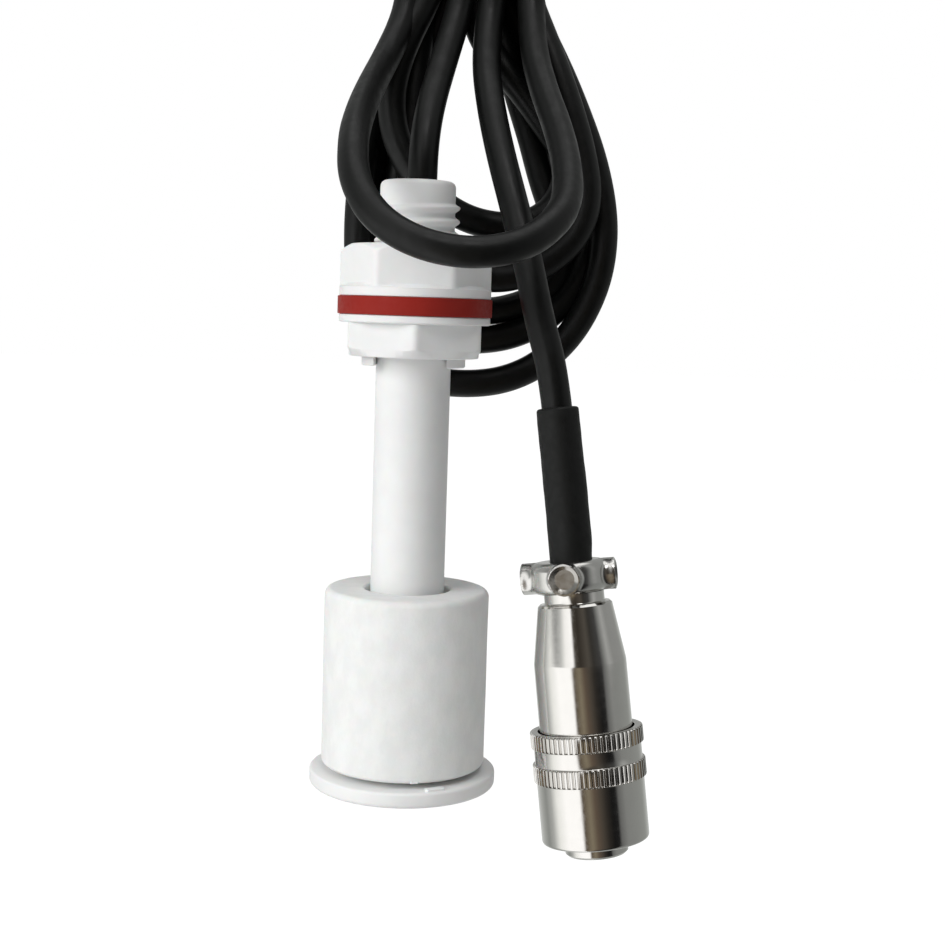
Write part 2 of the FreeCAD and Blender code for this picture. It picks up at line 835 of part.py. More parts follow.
def contacts():
    """Two socket contacts with solder cups at their backs."""
    low = insert_end() + INSULATOR_SET_BACK
    top = low + INSULATOR_L + CUP_L
    made = []
    for x, y in contact_places():
        body = rod(CONTACT_D, low, top, x, y)
        body = body.cut(rod(CONTACT_HOLE_D, low, low + CONTACT_HOLE_L, x, y))
        made.append(body.cut(rod(CORE_D, top - CUP_DEPTH, top, x, y)))
    return Part.makeCompound(made)


def plug_wires():
    """The cable's two cores, from its jacket's end to the solder cups."""
    cup = insert_end() + INSULATOR_SET_BACK + INSULATOR_L + CUP_L - CUP_DEPTH
    near = (CORE_D + CORES_GAP) / 2
    far = CONTACT_PITCH / 2
    route = [
        (near, JACKET_END),
        (near, JACKET_END - CORES_START),
        (far, JACKET_END - CORES_SPREAD),
        (far, cup),
    ]
    made = []
    for side in (-1, 1):
        made.append(cord([Vector(side * x, 0, z) for x, z in route], CORE_D))
    return Part.makeCompound(made)


def build():
    """All nodes of the part by name."""
    place = connector_place()

    def placed(shape):
        shape.Placement = place.multiply(shape.Placement)
        return shape

    print("cable_lead")
    lead = cord(LEAD_ROUTE, CABLE_D)
    print("cable_front_loop")
    loop = cord(LOOP_ROUTE, CABLE_D)
    print("cable_tail")
    tail = cord(TAIL_ROUTE, CABLE_D)
    print("plug_wires")
    wires = plug_wires()
    upper = lead_wire_upper()
    lower = lead_wire_lower()
    hank = cable_hank([lead, loop, tail])
    return {
        "switch_body": switch_body(),
        "stop_disc": stop_disc(),
        "float_body": float_body(),
        "float_magnet": float_magnet(),
        "float_plug": float_plug(),
        "gasket": gasket(),
        "lock_nut": lock_nut(),
        "reed_glass": reed_glass(),
        "reed_upper": reed(1),
        "reed_lower": reed(-1),
        "reed_sleeve": reed_sleeve(),
        "lead_wire_upper": upper,
        "lead_wire_lower": lower,
        "potting": potting([lead, upper, lower]),
        "cable_lead": lead,
        "cable_front_loop": loop,
        "cable_hank": hank,
        "cable_tie": cable_tie(hank),
        "cable_tail": tail,
        "shrink_sleeve": placed(shrink_sleeve()),
        "cable_clamp": placed(cable_clamp()),
        "clamp_screws": placed(clamp_screws()),
        "backshell": placed(backshell()),
        "coupling_ring": placed(coupling_ring()),
        "insert_shell": placed(insert_shell()),
        "insulator": placed(insulator()),
        "contacts": placed(contacts()),
        "plug_wires": placed(wires),
    }


os.makedirs("parts", exist_ok=True)
for name, shape in build().items():
    solids = shape.Solids
    out = solids[0] if len(solids) == 1 else Part.makeCompound(solids)
    out.exportStep(f"parts/{name}.step")
    print(f"{name:18s} solids {len(solids)} valid {out.isValid()} volume {out.Volume:9.2f}")
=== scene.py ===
"""A float level switch: cord, dressed pieces, materials and a pale studio round its solids."""
import json
import math

import bmesh
import bpy
from mathutils import Matrix, Vector


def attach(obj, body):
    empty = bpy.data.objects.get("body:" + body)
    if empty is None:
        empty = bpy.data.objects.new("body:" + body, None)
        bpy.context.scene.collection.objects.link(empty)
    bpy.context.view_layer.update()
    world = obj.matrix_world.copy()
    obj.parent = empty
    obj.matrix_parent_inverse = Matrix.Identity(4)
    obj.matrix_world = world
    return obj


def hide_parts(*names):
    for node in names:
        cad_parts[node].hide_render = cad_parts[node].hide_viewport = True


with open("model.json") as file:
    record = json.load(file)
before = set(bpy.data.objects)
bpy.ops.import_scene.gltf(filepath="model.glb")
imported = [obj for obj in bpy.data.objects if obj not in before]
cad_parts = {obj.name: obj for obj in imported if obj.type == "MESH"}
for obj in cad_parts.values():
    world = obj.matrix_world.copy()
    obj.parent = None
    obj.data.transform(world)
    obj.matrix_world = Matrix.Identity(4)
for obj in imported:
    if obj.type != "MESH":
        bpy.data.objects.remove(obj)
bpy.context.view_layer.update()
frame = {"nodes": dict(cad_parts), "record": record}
nodes = frame["nodes"]

MM = 0.001


# Camera

PHOTO_SIZE = 945
CAMERA_FOCAL_PX = 1550
CAMERA_PLACE = (8.706, -216.0, 1.111)
CAMERA_PITCH = 6.0
CAMERA_ROLL = 1.848
SENSOR_MM = 36.0
CAMERA_REACH = (0.01, 20)


def add_camera():
    """The photograph's view: a fitted place, pitch and roll, with no yaw and no shift."""
    pitch = math.radians(CAMERA_PITCH)
    roll = math.radians(CAMERA_ROLL)
    forward = Vector((0, math.cos(pitch), -math.sin(pitch)))
    level_up = Vector((0, math.sin(pitch), math.cos(pitch)))
    level_right = Vector((1, 0, 0))
    right = level_right * math.cos(roll) + level_up * math.sin(roll)
    up = level_up * math.cos(roll) - level_right * math.sin(roll)
    data = bpy.data.cameras.new("camera")
    data.sensor_width = SENSOR_MM
    data.lens = SENSOR_MM * CAMERA_FOCAL_PX / PHOTO_SIZE
    data.clip_start, data.clip_end = CAMERA_REACH
    camera = bpy.data.objects.new("camera", data)
    axes = Matrix((right, up, -forward)).transposed()
    camera.matrix_world = Matrix.Translation(Vector(CAMERA_PLACE) * MM) @ axes.to_4x4()
    bpy.context.scene.collection.objects.link(camera)
    bpy.context.scene.camera = camera


# Places that the cord and the connector share with the solids, in millimetres

HANK_FOOT = Vector((0, 14.5, -11.0))
HANK_LEAN = math.radians(10.0)
HANK_MIDDLE = 6.4
TIE_W = 66.0
CONNECTOR_AT = Vector((22.8, -13.4, -37.0))
CONNECTOR_LEAN_SIDE = math.radians(7.04)
CONNECTOR_LEAN_FRONT = math.radians(5.2)
CABLE_D = 4.1
CABLE_STEPS = 8
CABLE_FACETS = 6


def on_hank(x, v, w):
    """A point given across, through and up the hank's leaning plane."""
    through = Vector((0, math.cos(HANK_LEAN), -math.sin(HANK_LEAN)))
    up = Vector((0, math.sin(HANK_LEAN), math.cos(HANK_LEAN)))
    return HANK_FOOT + Vector((x, 0, 0)) + through * v + up * w


def connector_axis():
    """The unit vector up the connector's axis."""
    return Vector((-math.tan(CONNECTOR_LEAN_SIDE), math.tan(CONNECTOR_LEAN_FRONT), 1)).normalized()


def on_connector(z):
    """A point on the connector's axis, z above its shoulder."""
    return CONNECTOR_AT + connector_axis() * z


# The cord's route

LEAD = [(0.5, 0, 9), (0.5, 0, 18.5), (0.6, 1.2, 24.0), (1.2, 4.8, 29.4), (2.6, 11.4, 36.2)]
LEAD_ON_HANK = [(4.3, -7.2, 54), (5.3, -7.2, 60), (6.1, -7.2, 65)]

FRONT_LOOP_DOWN = [(14.6, -7.2, 65), (15.0, -7.2, 60.5), (15.1, -7.2, 55.5)]
FRONT_LOOP = [
    (15.6, 12.7, 38.1),
    (17.1, 7.3, 32.0),
    (18.9, 1.5, 26.5),
    (20.0, -4.7, 21.2),
    (20.1, -11.1, 16.1),
    (18.4, -16.6, 12.5),
    (14.2, -20.6, 9.2),
    (7.9, -22.7, 7.9),
    (1.2, -22.4, 8.9),
    (-4.4, -20.1, 12.0),
    (-7.6, -16.5, 16.9),
    (-8.3, -11.0, 22.6),
    (-7.9, -3.4, 27.4),
    (-7.1, 4.5, 31.8),
    (-5.6, 11.9, 36.7),
]
FRONT_LOOP_UP = [(-3.2, -7.2, 54), (-2.6, -7.2, 60), (-1.8, -7.2, 65)]

# Back loops, each down its right side and up its left, as (across, through, up) on the hank's plane
LOOP_2 = [
    (14.6, 0, 65),
    (15.5, -1.4, 57),
    (19.6, -3.0, 48.5),
    (22.8, -3.4, 41),
    (25.4, -3.4, 34),
    (27.0, -3.4, 26.5),
    (27.0, -2.8, 20.2),
    (25.8, -1.6, 14.8),
    (23.0, -0.5, 9.2),
    (18.6, 0, 4.6),
    (13.4, 0, 1.9),
    (7.7, 0, 1.0),
    (1.6, 0, 1.4),
    (-3.2, 0, 3.9),
    (-7.0, -0.6, 8.7),
    (-9.0, -1.8, 15.2),
    (-9.5, -2.8, 22.4),
    (-9.3, -3.4, 29),
    (-8.8, -3.4, 35.5),
    (-7.6, -3.2, 41.5),
    (-6.4, -2.8, 47),
    (-4.4, -1.6, 54.5),
    (-2.2, -0.2, 60.5),
    (-1.8, 0, 65),
]
LOOP_3 = [
    (10.5, 0, 65),
    (11.6, 0.4, 59.5),
    (14.6, 0.6, 53.5),
    (17.8, 0.6, 48),
    (21.4, 0.6, 42.3),
    (23.8, 0.6, 35.5),
    (25.4, 0.6, 28.5),
    (25.3, 0.6, 22.4),
    (23.1, 0.3, 15.8),
    (19.2, 0, 11.4),
    (14.5, 0, 8.7),
    (9.2, 0, 7.6),
    (3.0, 0, 7.8),
    (-3.2, 0, 9.4),
    (-7.0, 0.2, 14.4),
    (-8.3, 0.5, 21.4),
    (-8.2, 0.6, 28.6),
    (-7.3, 0.6, 36.2),
    (-6.1, 0.6, 42.3),
    (-4.5, 0.6, 49.5),
    (-1.8, 0.4, 56),
    (0.7, 0, 60.7),
    (1.9, 0, 65),
]
LOOP_4 = [
    (6.4, 0, 65),
    (8.2, 0.2, 59),
    (11.8, 0.2, 51.5),
    (13.9, 0.2, 44.5),
    (16.0, 0.2, 38.3),
    (17.6, 0.2, 32.5),
    (19.5, 0.2, 27.3),
    (21.3, 0.2, 22.6),
    (20.6, 0.2, 17.6),
    (17.2, 0.2, 14.1),
    (12.0, 0.2, 12.2),
    (6.8, 0.2, 12.0),
    (1.4, 0.2, 13.2),
    (-2.4, 0.2, 16.6),
    (-4.2, 0.2, 22.2),
    (-4.3, 0.2, 28.6),
    (-3.7, 0, 36.1),
    (-2.4, -0.6, 43.5),
    (-0.2, -1.6, 51),
    (2.8, -3.0, 58.5),
    (4.35, -3.6, 65),
]
LOOP_5 = [
    (12.55, -3.6, 65),
    (15.0, -4.8, 57.5),
    (18.4, -6.2, 49),
    (21.0, -6.6, 42),
    (23.2, -6.6, 35),
    (24.4, -6.6, 28.4),
    (23.3, -6.6, 23.4),
    (20.4, -6.6, 19.6),
    (16.4, -6.5, 17.0),
    (11.8, -6.2, 15.7),
    (7.2, -5.8, 16.3),
    (3.0, -5.2, 19.4),
    (0.1, -4.6, 23.2),
    (-1.5, -4.0, 28.4),
    (-2.1, -3.7, 34.4),
    (-2.0, -3.6, 42),
    (-1.4, -3.6, 50),
    (-0.4, -3.6, 58),
    (0.25, -3.6, 65),
]
LOOP_6 = [
    (8.45, -3.6, 65),
    (6.8, -3.5, 58.5),
    (7.3, -3.4, 53.5),
    (10.6, -3.4, 48.8),
    (14.6, -3.2, 44.3),
    (18.3, -3.0, 39.2),
    (20.5, -3.0, 36.1),
    (21.2, -3.2, 32.4),
    (20.4, -3.6, 28.8),
    (18.1, -4.2, 25.8),
    (14.8, -4.9, 24.0),
    (11.1, -5.6, 23.7),
    (7.0, -6.4, 24.3),
    (2.8, -7.0, 26.4),
    (-1.1, -7.4, 30.2),
    (-3.7, -7.4, 34.8),
    (-4.8, -7.4, 39.2),
    (-4.8, -7.4, 44),
    (-3.2, -7.3, 50),
    (0.2, -7.2, 57.5),
    (2.3, -7.2, 65),
]
TAIL_ON_HANK = [(10.5, -7.2, 65), (9.7, -7.2, 60), (9.0, -7.2, 54)]
TAIL = [
    (8.7, 11.8, 36.2),
    (9.6, 6.2, 29.6),
    (11.2, 1.4, 22.4),
    (13.3, -2.6, 15.0),
    (15.3, -6.0, 7.6),
    (16.9, -8.4, 0.2),
]
TAIL_ON_CONNECTOR = [30.0, 12.0, -4.0]

# Folds over the hank's top, each up its left flank and down its right. FLANK holds each point's
# height and its shares of the way out and through, and FOLD_LAYERS each fold's layer and radius.
FOLD_WIDE = 16.4
FOLD_NARROW = 12.3
FOLD_CENTRE_W = 96.5
FOLD_STEPS = 5
FLANK = [(71.0, 0.12, 0.3), (78.5, 0.62, 0.8), (87.0, 0.97, 1.0)]
FOLD_LAYERS = [
    (-9.8, FOLD_WIDE),
    (-5.7, FOLD_WIDE),
    (-1.5, FOLD_WIDE),
    (2.6, FOLD_WIDE),
    (2.6, FOLD_NARROW),
    (-1.5, FOLD_NARROW),
    (-5.7, FOLD_NARROW),
]


def flank_points(strand, x, layer):
    """Points from a strand at the tie up to where a fold's round top starts."""
    return [(strand[0] + (x - strand[0]) * out, strand[1] + (layer - strand[1]) * deep, w)
            for w, out, deep in FLANK]


def fold(before, after, layer, radius):
    """Points from one strand at the tie, up over the hank's top and down to another strand."""
    points = flank_points(before, HANK_MIDDLE - radius, layer)
    step = math.pi / FOLD_STEPS
    reach = radius / math.cos(step / 2)
    for k in range(FOLD_STEPS + 1):
        a = math.pi - step * k
        x = HANK_MIDDLE + reach * math.cos(a)
        points.append((x, layer, FOLD_CENTRE_W + reach * math.sin(a)))
    return points + flank_points(after, HANK_MIDDLE + radius, layer)[::-1]


def cord_points():
    """The whole cord's control points, from the neck to the connector, in millimetres."""
    loops = [FRONT_LOOP, LOOP_5, LOOP_2, LOOP_3, LOOP_4, LOOP_6]
    points = [Vector(p) for p in LEAD] + [on_hank(*p) for p in LEAD_ON_HANK]
    last = LEAD_ON_HANK[-1]
    for loop, (layer, radius) in zip(loops, FOLD_LAYERS):
        start = FRONT_LOOP_DOWN if loop is FRONT_LOOP else loop
        points += [on_hank(*p) for p in fold(last, start[0], layer, radius)]
        points += [on_hank(*p) for p in start]
        if loop is FRONT_LOOP:
            points += [Vector(p) for p in FRONT_LOOP]
            points += [on_hank(*p) for p in FRONT_LOOP_UP]
            last = FRONT_LOOP_UP[-1]
        else:
            last = loop[-1]
    points += [on_hank(*p) for p in fold(last, TAIL_ON_HANK[0], *FOLD_LAYERS[-1])]
    points += [on_hank(*p) for p in TAIL_ON_HANK]
    points += [Vector(p) for p in TAIL]
    points += [on_connector(z) for z in TAIL_ON_CONNECTOR]
    return points


def add_cord(material):
    """The cable as one smooth round curve."""
    data = bpy.data.curves.new("cable", "CURVE")
    data.dimensions = "3D"
    data.resolution_u = CABLE_STEPS
    data.bevel_depth = CABLE_D / 2 * MM
    data.bevel_resolution = CABLE_FACETS
    data.use_fill_caps = True
    points = cord_points()
    spline = data.splines.new("NURBS")
    spline.points.add(len(points) - 1)
    for point, place in zip(spline.points, points):
        point.co = (place * MM).to_4d()
    spline.order_u = 3
    spline.use_endpoint_u = True
    cable = bpy.data.objects.new("cable", data)
    bpy.context.scene.collection.objects.link(cable)
    cable.data.materials.append(material)
    return cable


# Meshes of turned and moulded pieces

SEGMENTS = 240
FINE_SEGMENTS = 384
KNURL_SEGMENTS = 768
ROD_SEGMENTS = 64
SHARP_ANGLE = math.radians(32)


def filleted(outline, steps=5, closed=True):
    """The outline with its corners rounded. Each corner is (radius, height) or has its fillet third."""
    count = len(outline)
    points = []
    for k, corner in enumerate(outline):
        at = Vector(corner[:2])
        fillet = corner[2] if len(corner) > 2 else 0
        if not fillet or (not closed and k in (0, count - 1)):
            points.append(tuple(at))
            continue
        back = (Vector(outline[k - 1][:2]) - at).normalized()
        on = (Vector(outline[(k + 1) % count][:2]) - at).normalized()
        half = math.acos(max(-1.0, min(1.0, back.dot(on)))) / 2
        centre = at + (back + on).normalized() * (fillet / math.sin(half))
        cut = fillet / math.tan(half)
        first = at + back * cut - centre
        last = at + on * cut - centre
        turn = first.angle_signed(last)
        for j in range(steps + 1):
            a = -turn * j / steps
            spoke = Vector((first.x * math.cos(a) - first.y * math.sin(a),
                            first.x * math.sin(a) + first.y * math.cos(a)))
            points.append(tuple(centre + spoke))
    return points


def divided(outline, longest, closed=False):
    """The outline with points added so that no step is longer than the given length."""
    points = []
    ends = zip(outline, outline[1:] + outline[:1]) if closed else zip(outline, outline[1:])
    for start, end in ends:
        steps = max(1, math.ceil(math.dist(start, end) / longest))
        points += [(start[0] + (end[0] - start[0]) * k / steps, start[1] + (end[1] - start[1]) * k / steps)
                   for k in range(steps)]
    return points if closed else points + [outline[-1]]


def smooth_min(a, b, blend):
    """The smaller of two values, with a soft change-over."""
    h = max(blend - abs(a - b), 0) / blend
    return min(a, b) - h * h * blend / 4


def smooth_max(a, b, blend):
    """The larger of two values, with a soft change-over."""
    return -smooth_min(-a, -b, blend)


def smooth_step(low, high, value):
    """0 at low, 1 at high and a soft slope between."""
    t = max(0.0, min(1.0, (value - low) / (high - low)))
    return t * t * (3 - 2 * t)


def hexagon_reach(angle, across_flats, corner_turn, fillet):
    """How far a hexagon with rounded corners reaches at an angle."""
    sector = math.radians(60)
    off = (angle - math.radians(corner_turn)) % sector
    off = min(off, sector - off)
    inner = across_flats / 2
    if inner * math.tan(sector / 2 - off) <= (inner - fillet) * math.tan(sector / 2):
        return inner / math.cos(sector / 2 - off)
    centre = (inner - fillet) / math.cos(sector / 2)
    return centre * math.cos(off) + math.sqrt(fillet**2 - (centre * math.sin(off)) ** 2)


def finish_mesh(name, verts, faces, material):
    """An object of the given millimetre vertices, smooth but for its sharp edges."""
    mesh = bpy.data.meshes.new(name)
    mesh.from_pydata([tuple(c * MM for c in v) for v in verts], [], faces)
    mesh.validate()
    work = bmesh.new()
    work.from_mesh(mesh)
    bmesh.ops.recalc_face_normals(work, faces=work.faces)
    work.to_mesh(mesh)
    work.free()
    mesh.shade_smooth()
    mesh.set_sharp_from_angle(angle=SHARP_ANGLE)
    mesh.materials.append(material)
    piece = bpy.data.objects.new(name, mesh)
    bpy.context.scene.collection.objects.link(piece)
    return piece


def lathe(name, outline, material, reach=None, segments=SEGMENTS):
    """A closed turned piece. An outline that starts and ends on the axis closes there."""
    solid = outline[0][0] == 0
    verts = []
    rings = []
    for r, z in outline:
        if r == 0:
            rings.append([len(verts)])
            verts.append((0, 0, z))
            continue
        ring = []
        for k in range(segments):
            a = 2 * math.pi * k / segments
            reached = reach(r, z, a) if reach else r
            ring.append(len(verts))
            verts.append((reached * math.cos(a), reached * math.sin(a), z))
        rings.append(ring)
    pairs = list(zip(rings, rings[1:]))
    if not solid:
        pairs.append((rings[-1], rings[0]))
    faces = []
    for upper, lower in pairs:
        for k in range(segments):
            j = (k + 1) % segments
            above = (upper[k % len(upper)], upper[j % len(upper)])
            below = (lower[k % len(lower)], lower[j % len(lower)])
            corners = [above[0], below[0], below[1], above[1]]
            faces.append(tuple(dict.fromkeys(corners)))
    return finish_mesh(name, verts, faces, material)


def stacked(name, layers, material):
    """A closed piece through layers that have the same number of corners, with a cap at each end."""
    count = len(layers[0])
    verts = [corner for layer in layers for corner in layer]
    faces = [tuple(range(count)), tuple(range(len(verts) - count, len(verts)))]
    for first in range(0, len(verts) - count, count):
        for j in range(count):
            k = (j + 1) % count
            faces.append((first + j, first + k, first + count + k, first + count + j))
    return finish_mesh(name, verts, faces, material)


def dress(piece, body, slot, *replaced):
    """Lets a piece ride on its body in place of the solids it dresses."""
    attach(piece, body)
    if replaced:
        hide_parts(*replaced)
    return piece


def on_the_connector(piece):
    """Moves a piece that was made in the connector's own frame to its place."""
    turn = Vector((0, 0, 1)).rotation_difference(connector_axis())
    piece.matrix_world = Matrix.Translation(CONNECTOR_AT * MM) @ turn.to_matrix().to_4x4()
    return piece


def cut_out(piece, cutter):
    """Cuts one closed piece out of another and deletes the cutter."""
    step = piece.modifiers.new("cut", "BOOLEAN")
    step.operation = "DIFFERENCE"
    step.solver = "EXACT"
    step.object = cutter
    bpy.context.view_layer.update()
    cut = bpy.data.meshes.new_from_object(piece.evaluated_get(bpy.context.evaluated_depsgraph_get()))
    piece.modifiers.clear()
    old = piece.data
    piece.data = cut
    bpy.data.meshes.remove(old)
    bpy.data.objects.remove(cutter)
    cut.shade_smooth()
    cut.set_sharp_from_angle(angle=SHARP_ANGLE)


# The switch's moulded body

NECK_TOP = 18.4
BORE_R = 3.6
BORE_END = -62
BORE_MIDDLE = -30
NECK_INSIDE = 14
LEAD_IN_R = 5.2
LEAD_IN_ROUND = 0.85
NECK_BLEND = 0.35
THREAD_TOP = 15.55
THREAD_ROOT = 5.18
THREAD_CREST = 5.86
THREAD_PITCH = 1.88
FIRST_CREST = 14.85
THREAD_STEP = 0.1
FLANGE_R = 10.5
FLANGE_T = 1.1
HEX_LOW = -5.7
HEX_FLATS = 18.4
BODY_FLATS = 18.1
HEX_EDGE = 0.12
HEX_SIDE_END = -4.3
HEX_FOOT_IN = 1.6
HEX_TURN = 93.0
HEX_CORNER = 1.0
LUG_LOW = -7.0
LUG_R = 7.2
LUG_GAP = 10.0
LUG_TURN = 87.0
LUG_EDGE = 0.15
LUG_STEPS = 20
STEM_R = 5.2
STEM_END = -64.0
SPIGOT_R = 3.0
SPIGOT_END = -65.4


def thread_reach(z, angle):
    """The radius of the moulded thread, a rounded right-hand helix that fades out at its top."""
    turn = (z - FIRST_CREST) / THREAD_PITCH - angle / (2 * math.pi)
    crest = smooth_step(0.4, 0.04, abs(turn - round(turn)))
    fade = smooth_step(THREAD_TOP + 0.1, THREAD_TOP - 0.6, z)
    return THREAD_ROOT + (THREAD_CREST - THREAD_ROOT) * crest * fade


def body_reach(r, z, angle):
    """The body's radius at an angle: thread or hexagon where the height has them."""
    if 0 < z < THREAD_TOP and r > BORE_R:
        return thread_reach(z, angle)
    if HEX_LOW <= z < -FLANGE_T and r > LUG_R:
        return smooth_min(r, hexagon_reach(angle, BODY_FLATS, HEX_TURN, HEX_CORNER), HEX_EDGE)
    return r


def body_outline():
    """The body's outline from the floor of its bore, over the neck and down to the spigot."""
    bore = [(0, BORE_END), (BORE_R, BORE_END), (BORE_R, BORE_MIDDLE), (BORE_R, 0)]
    neck = filleted([
        (BORE_R, NECK_INSIDE), (BORE_R, NECK_TOP, 0.2), (LEAD_IN_R, NECK_TOP, LEAD_IN_ROUND),
        (LEAD_IN_R, THREAD_TOP + NECK_BLEND, 0.2), (THREAD_ROOT, THREAD_TOP),
    ], closed=False)
    thread = divided([(THREAD_ROOT, THREAD_TOP - THREAD_STEP), (THREAD_ROOT, THREAD_STEP)], THREAD_STEP)
    flange = filleted([
        (THREAD_ROOT, 0), (FLANGE_R, 0, 0.15), (FLANGE_R, -FLANGE_T, 0.28), (FLANGE_R - 0.4, -FLANGE_T),
    ], closed=False)
    hexed = filleted([
        (FLANGE_R, -FLANGE_T - 0.01), (FLANGE_R, HEX_SIDE_END, 1.2),
        (FLANGE_R - HEX_FOOT_IN, HEX_LOW, 0.4), (STEM_R, HEX_LOW, 0.25), (STEM_R, HEX_LOW - 1),
    ], steps=7, closed=False)
    stem = divided([(STEM_R, HEX_LOW - 2), (STEM_R, STEM_END)], 8)
    spigot = [(SPIGOT_R, STEM_END), (SPIGOT_R, SPIGOT_END), (0, SPIGOT_END)]
    return bore + neck + thread + flange + hexed + stem + spigot


def lug_layer(turn, inset, z):
    """A lug's outline at a height: an arc outside, and a flat side towards the stem."""
    r = LUG_R - inset
    flat = LUG_GAP / 2 + inset
    start = math.asin(flat / r)
    layer = []
    for k in range(LUG_STEPS + 1):
        a = start + (math.pi - 2 * start) * k / LUG_STEPS + math.radians(turn)
        layer.append((r * math.cos(a), r * math.sin(a), z))
    return layer


def add_body(material):
    """Neck, flange, hexagon and stem in one moulding, with a lug at each side of the stem."""
    piece = lathe("body_moulding", body_outline(), material, body_reach)
    dress(piece, "switch", "white_plastic", "switch_body")
    for turn in (LUG_TURN, LUG_TURN + 180):
        layers = [lug_layer(turn, LUG_EDGE, LUG_LOW), lug_layer(turn, 0, LUG_LOW + LUG_EDGE),
                  lug_layer(turn, 0, HEX_LOW + 0.1)]
        dress(stacked("lug", layers, material), "switch", "white_plastic", "switch_body")


STOP_R = 13.2
STOP_LOW = -66.2
STOP_TOP = -64.0
BOSS_TOP = -63.2
BOSS_RIM_R = 6.5
BOSS_BORE_R = 5.25
GATE_TURN = 294.0
GATE_W = 2.4
GATE_IN = 0.9
GATE_OUT = 0.35
BLOCK_ROOT = 0.5
BLOCK_BEVEL = 0.1


def rim_block(name, radius, out, width, low, high, turn, material):
    """A small block with bevelled sides on a round rim, from just inside it to a little beyond."""
    a = math.radians(turn)
    end = radius + out
    sections = [
        (radius - BLOCK_ROOT, width / 2 + BLOCK_BEVEL, 0),
        (end - BLOCK_BEVEL, width / 2, 0),
        (end, width / 2 - BLOCK_BEVEL, BLOCK_BEVEL),
    ]
    layers = []
    for reach, half, bevel in sections:
        foot = low + bevel
        top = high - bevel
        layer = []
        for side, z in ((-half, foot), (half, foot), (half, top), (-half, top)):
            x = reach * math.cos(a) - side * math.sin(a)
            y = reach * math.sin(a) + side * math.cos(a)
            layer.append((x, y, z))
        layers.append(layer)
    return stacked(name, layers, material)


def add_stop(material):
    """The stop disc under the float, with its boss and the stub of its gate on the rim."""
    outline = filleted([
        (SPIGOT_R, STOP_LOW), (STOP_R, STOP_LOW, 0.65), (STOP_R, STOP_TOP, 0.4),
        (BOSS_RIM_R, STOP_TOP, 0.15), (BOSS_RIM_R, BOSS_TOP, 0.15), (BOSS_BORE_R, BOSS_TOP),
        (BOSS_BORE_R, STEM_END), (SPIGOT_R, STEM_END),
    ])
    dress(lathe("stop", outline, material), "switch", "white_plastic", "stop_disc")
    stub = rim_block("stop_gate", STOP_R - GATE_IN, GATE_OUT, GATE_W, STOP_TOP - 0.4, STOP_TOP + 0.35,
                     GATE_TURN, material)
    dress(stub, "switch", "white_plastic", "stop_disc")


# Gasket and nut

GASKET_R = 10.7
GASKET_BORE_R = 6.1
GASKET_T = 2.5
GASKET_GAP = 0.02
NUT_LOW = 2.5
NUT_TOP = 9.6
NUT_BORE_R = 6.05
NUT_MOUTH = 0.4
NUT_TOP_MOUTH = 0.45
NUT_SIDE_END = 8.7
NUT_TOP_IN = 1.5
NUT_SKIN_R = 8
NUT_TURN = 1.5
NUT_CORNER = 1.0
COLLAR_TOP = 3.7
COLLAR_CONE = 0.5


def add_gasket(material):
    """The red ring, a little soft at its edges."""
    low = GASKET_GAP
    high = GASKET_T - GASKET_GAP
    outline = filleted([
        (GASKET_BORE_R, low), (GASKET_R, low, 0.1), (GASKET_R, high, 0.1), (GASKET_BORE_R, high),
    ])
    dress(lathe("red_gasket", outline, material), "switch", "red_rubber", "gasket")


def nut_reach(r, z, angle):
    """The nut's radius at an angle: hexagon above, round collar below."""
    if r < NUT_SKIN_R or z <= COLLAR_TOP:
        return r
    hexed = smooth_min(r, hexagon_reach(angle, HEX_FLATS, NUT_TURN, NUT_CORNER), HEX_EDGE)
    cone = FLANGE_R - (z - COLLAR_TOP) / COLLAR_CONE * (FLANGE_R - HEX_FLATS / 2)
    return smooth_max(hexed, cone, 0.3)


def add_nut(material):
    """The lock nut, with its collar and the mouth of its thread."""
    outline = filleted([
        (NUT_BORE_R, NUT_LOW + NUT_MOUTH), (NUT_BORE_R + NUT_MOUTH, NUT_LOW), (FLANGE_R, NUT_LOW, 0.12),
        (FLANGE_R, COLLAR_TOP, 0.12), (FLANGE_R - 0.02, COLLAR_TOP + 0.02), (FLANGE_R, COLLAR_TOP + 0.05),
        (FLANGE_R, NUT_SIDE_END, 0.9), (FLANGE_R - NUT_TOP_IN, NUT_TOP, 0.35),
        (NUT_BORE_R + NUT_TOP_MOUTH, NUT_TOP), (NUT_BORE_R, NUT_TOP - NUT_TOP_MOUTH),
    ], steps=7)
    outline = divided(outline, 0.25, closed=True)
    dress(lathe("nut", outline, material, nut_reach), "nut", "white_plastic", "lock_nut")


# Float

FLOAT_R = 11.6
FLOAT_LOW = BOSS_TOP
FLOAT_TOP = -38.2
FLOAT_BORE_R = 6.0
POCKET_R = (7.2, 9.5)
POCKET_DEPTH = 8
FLOAT_GATE_TURN = 281.0
FLOAT_GATE_OUT = 0.3
FLOAT_GATE_W = 1.1
FLOAT_SKIN_R = 8


def float_reach(r, z, angle):
    """The foamed moulding's slightly uneven skin."""
    if r < FLOAT_SKIN_R:
        return r
    wave = math.sin(3 * angle + 0.31 * z) + 0.7 * math.sin(5 * angle - 0.5 * z + 1.3)
    return r - 0.03 + 0.014 * wave


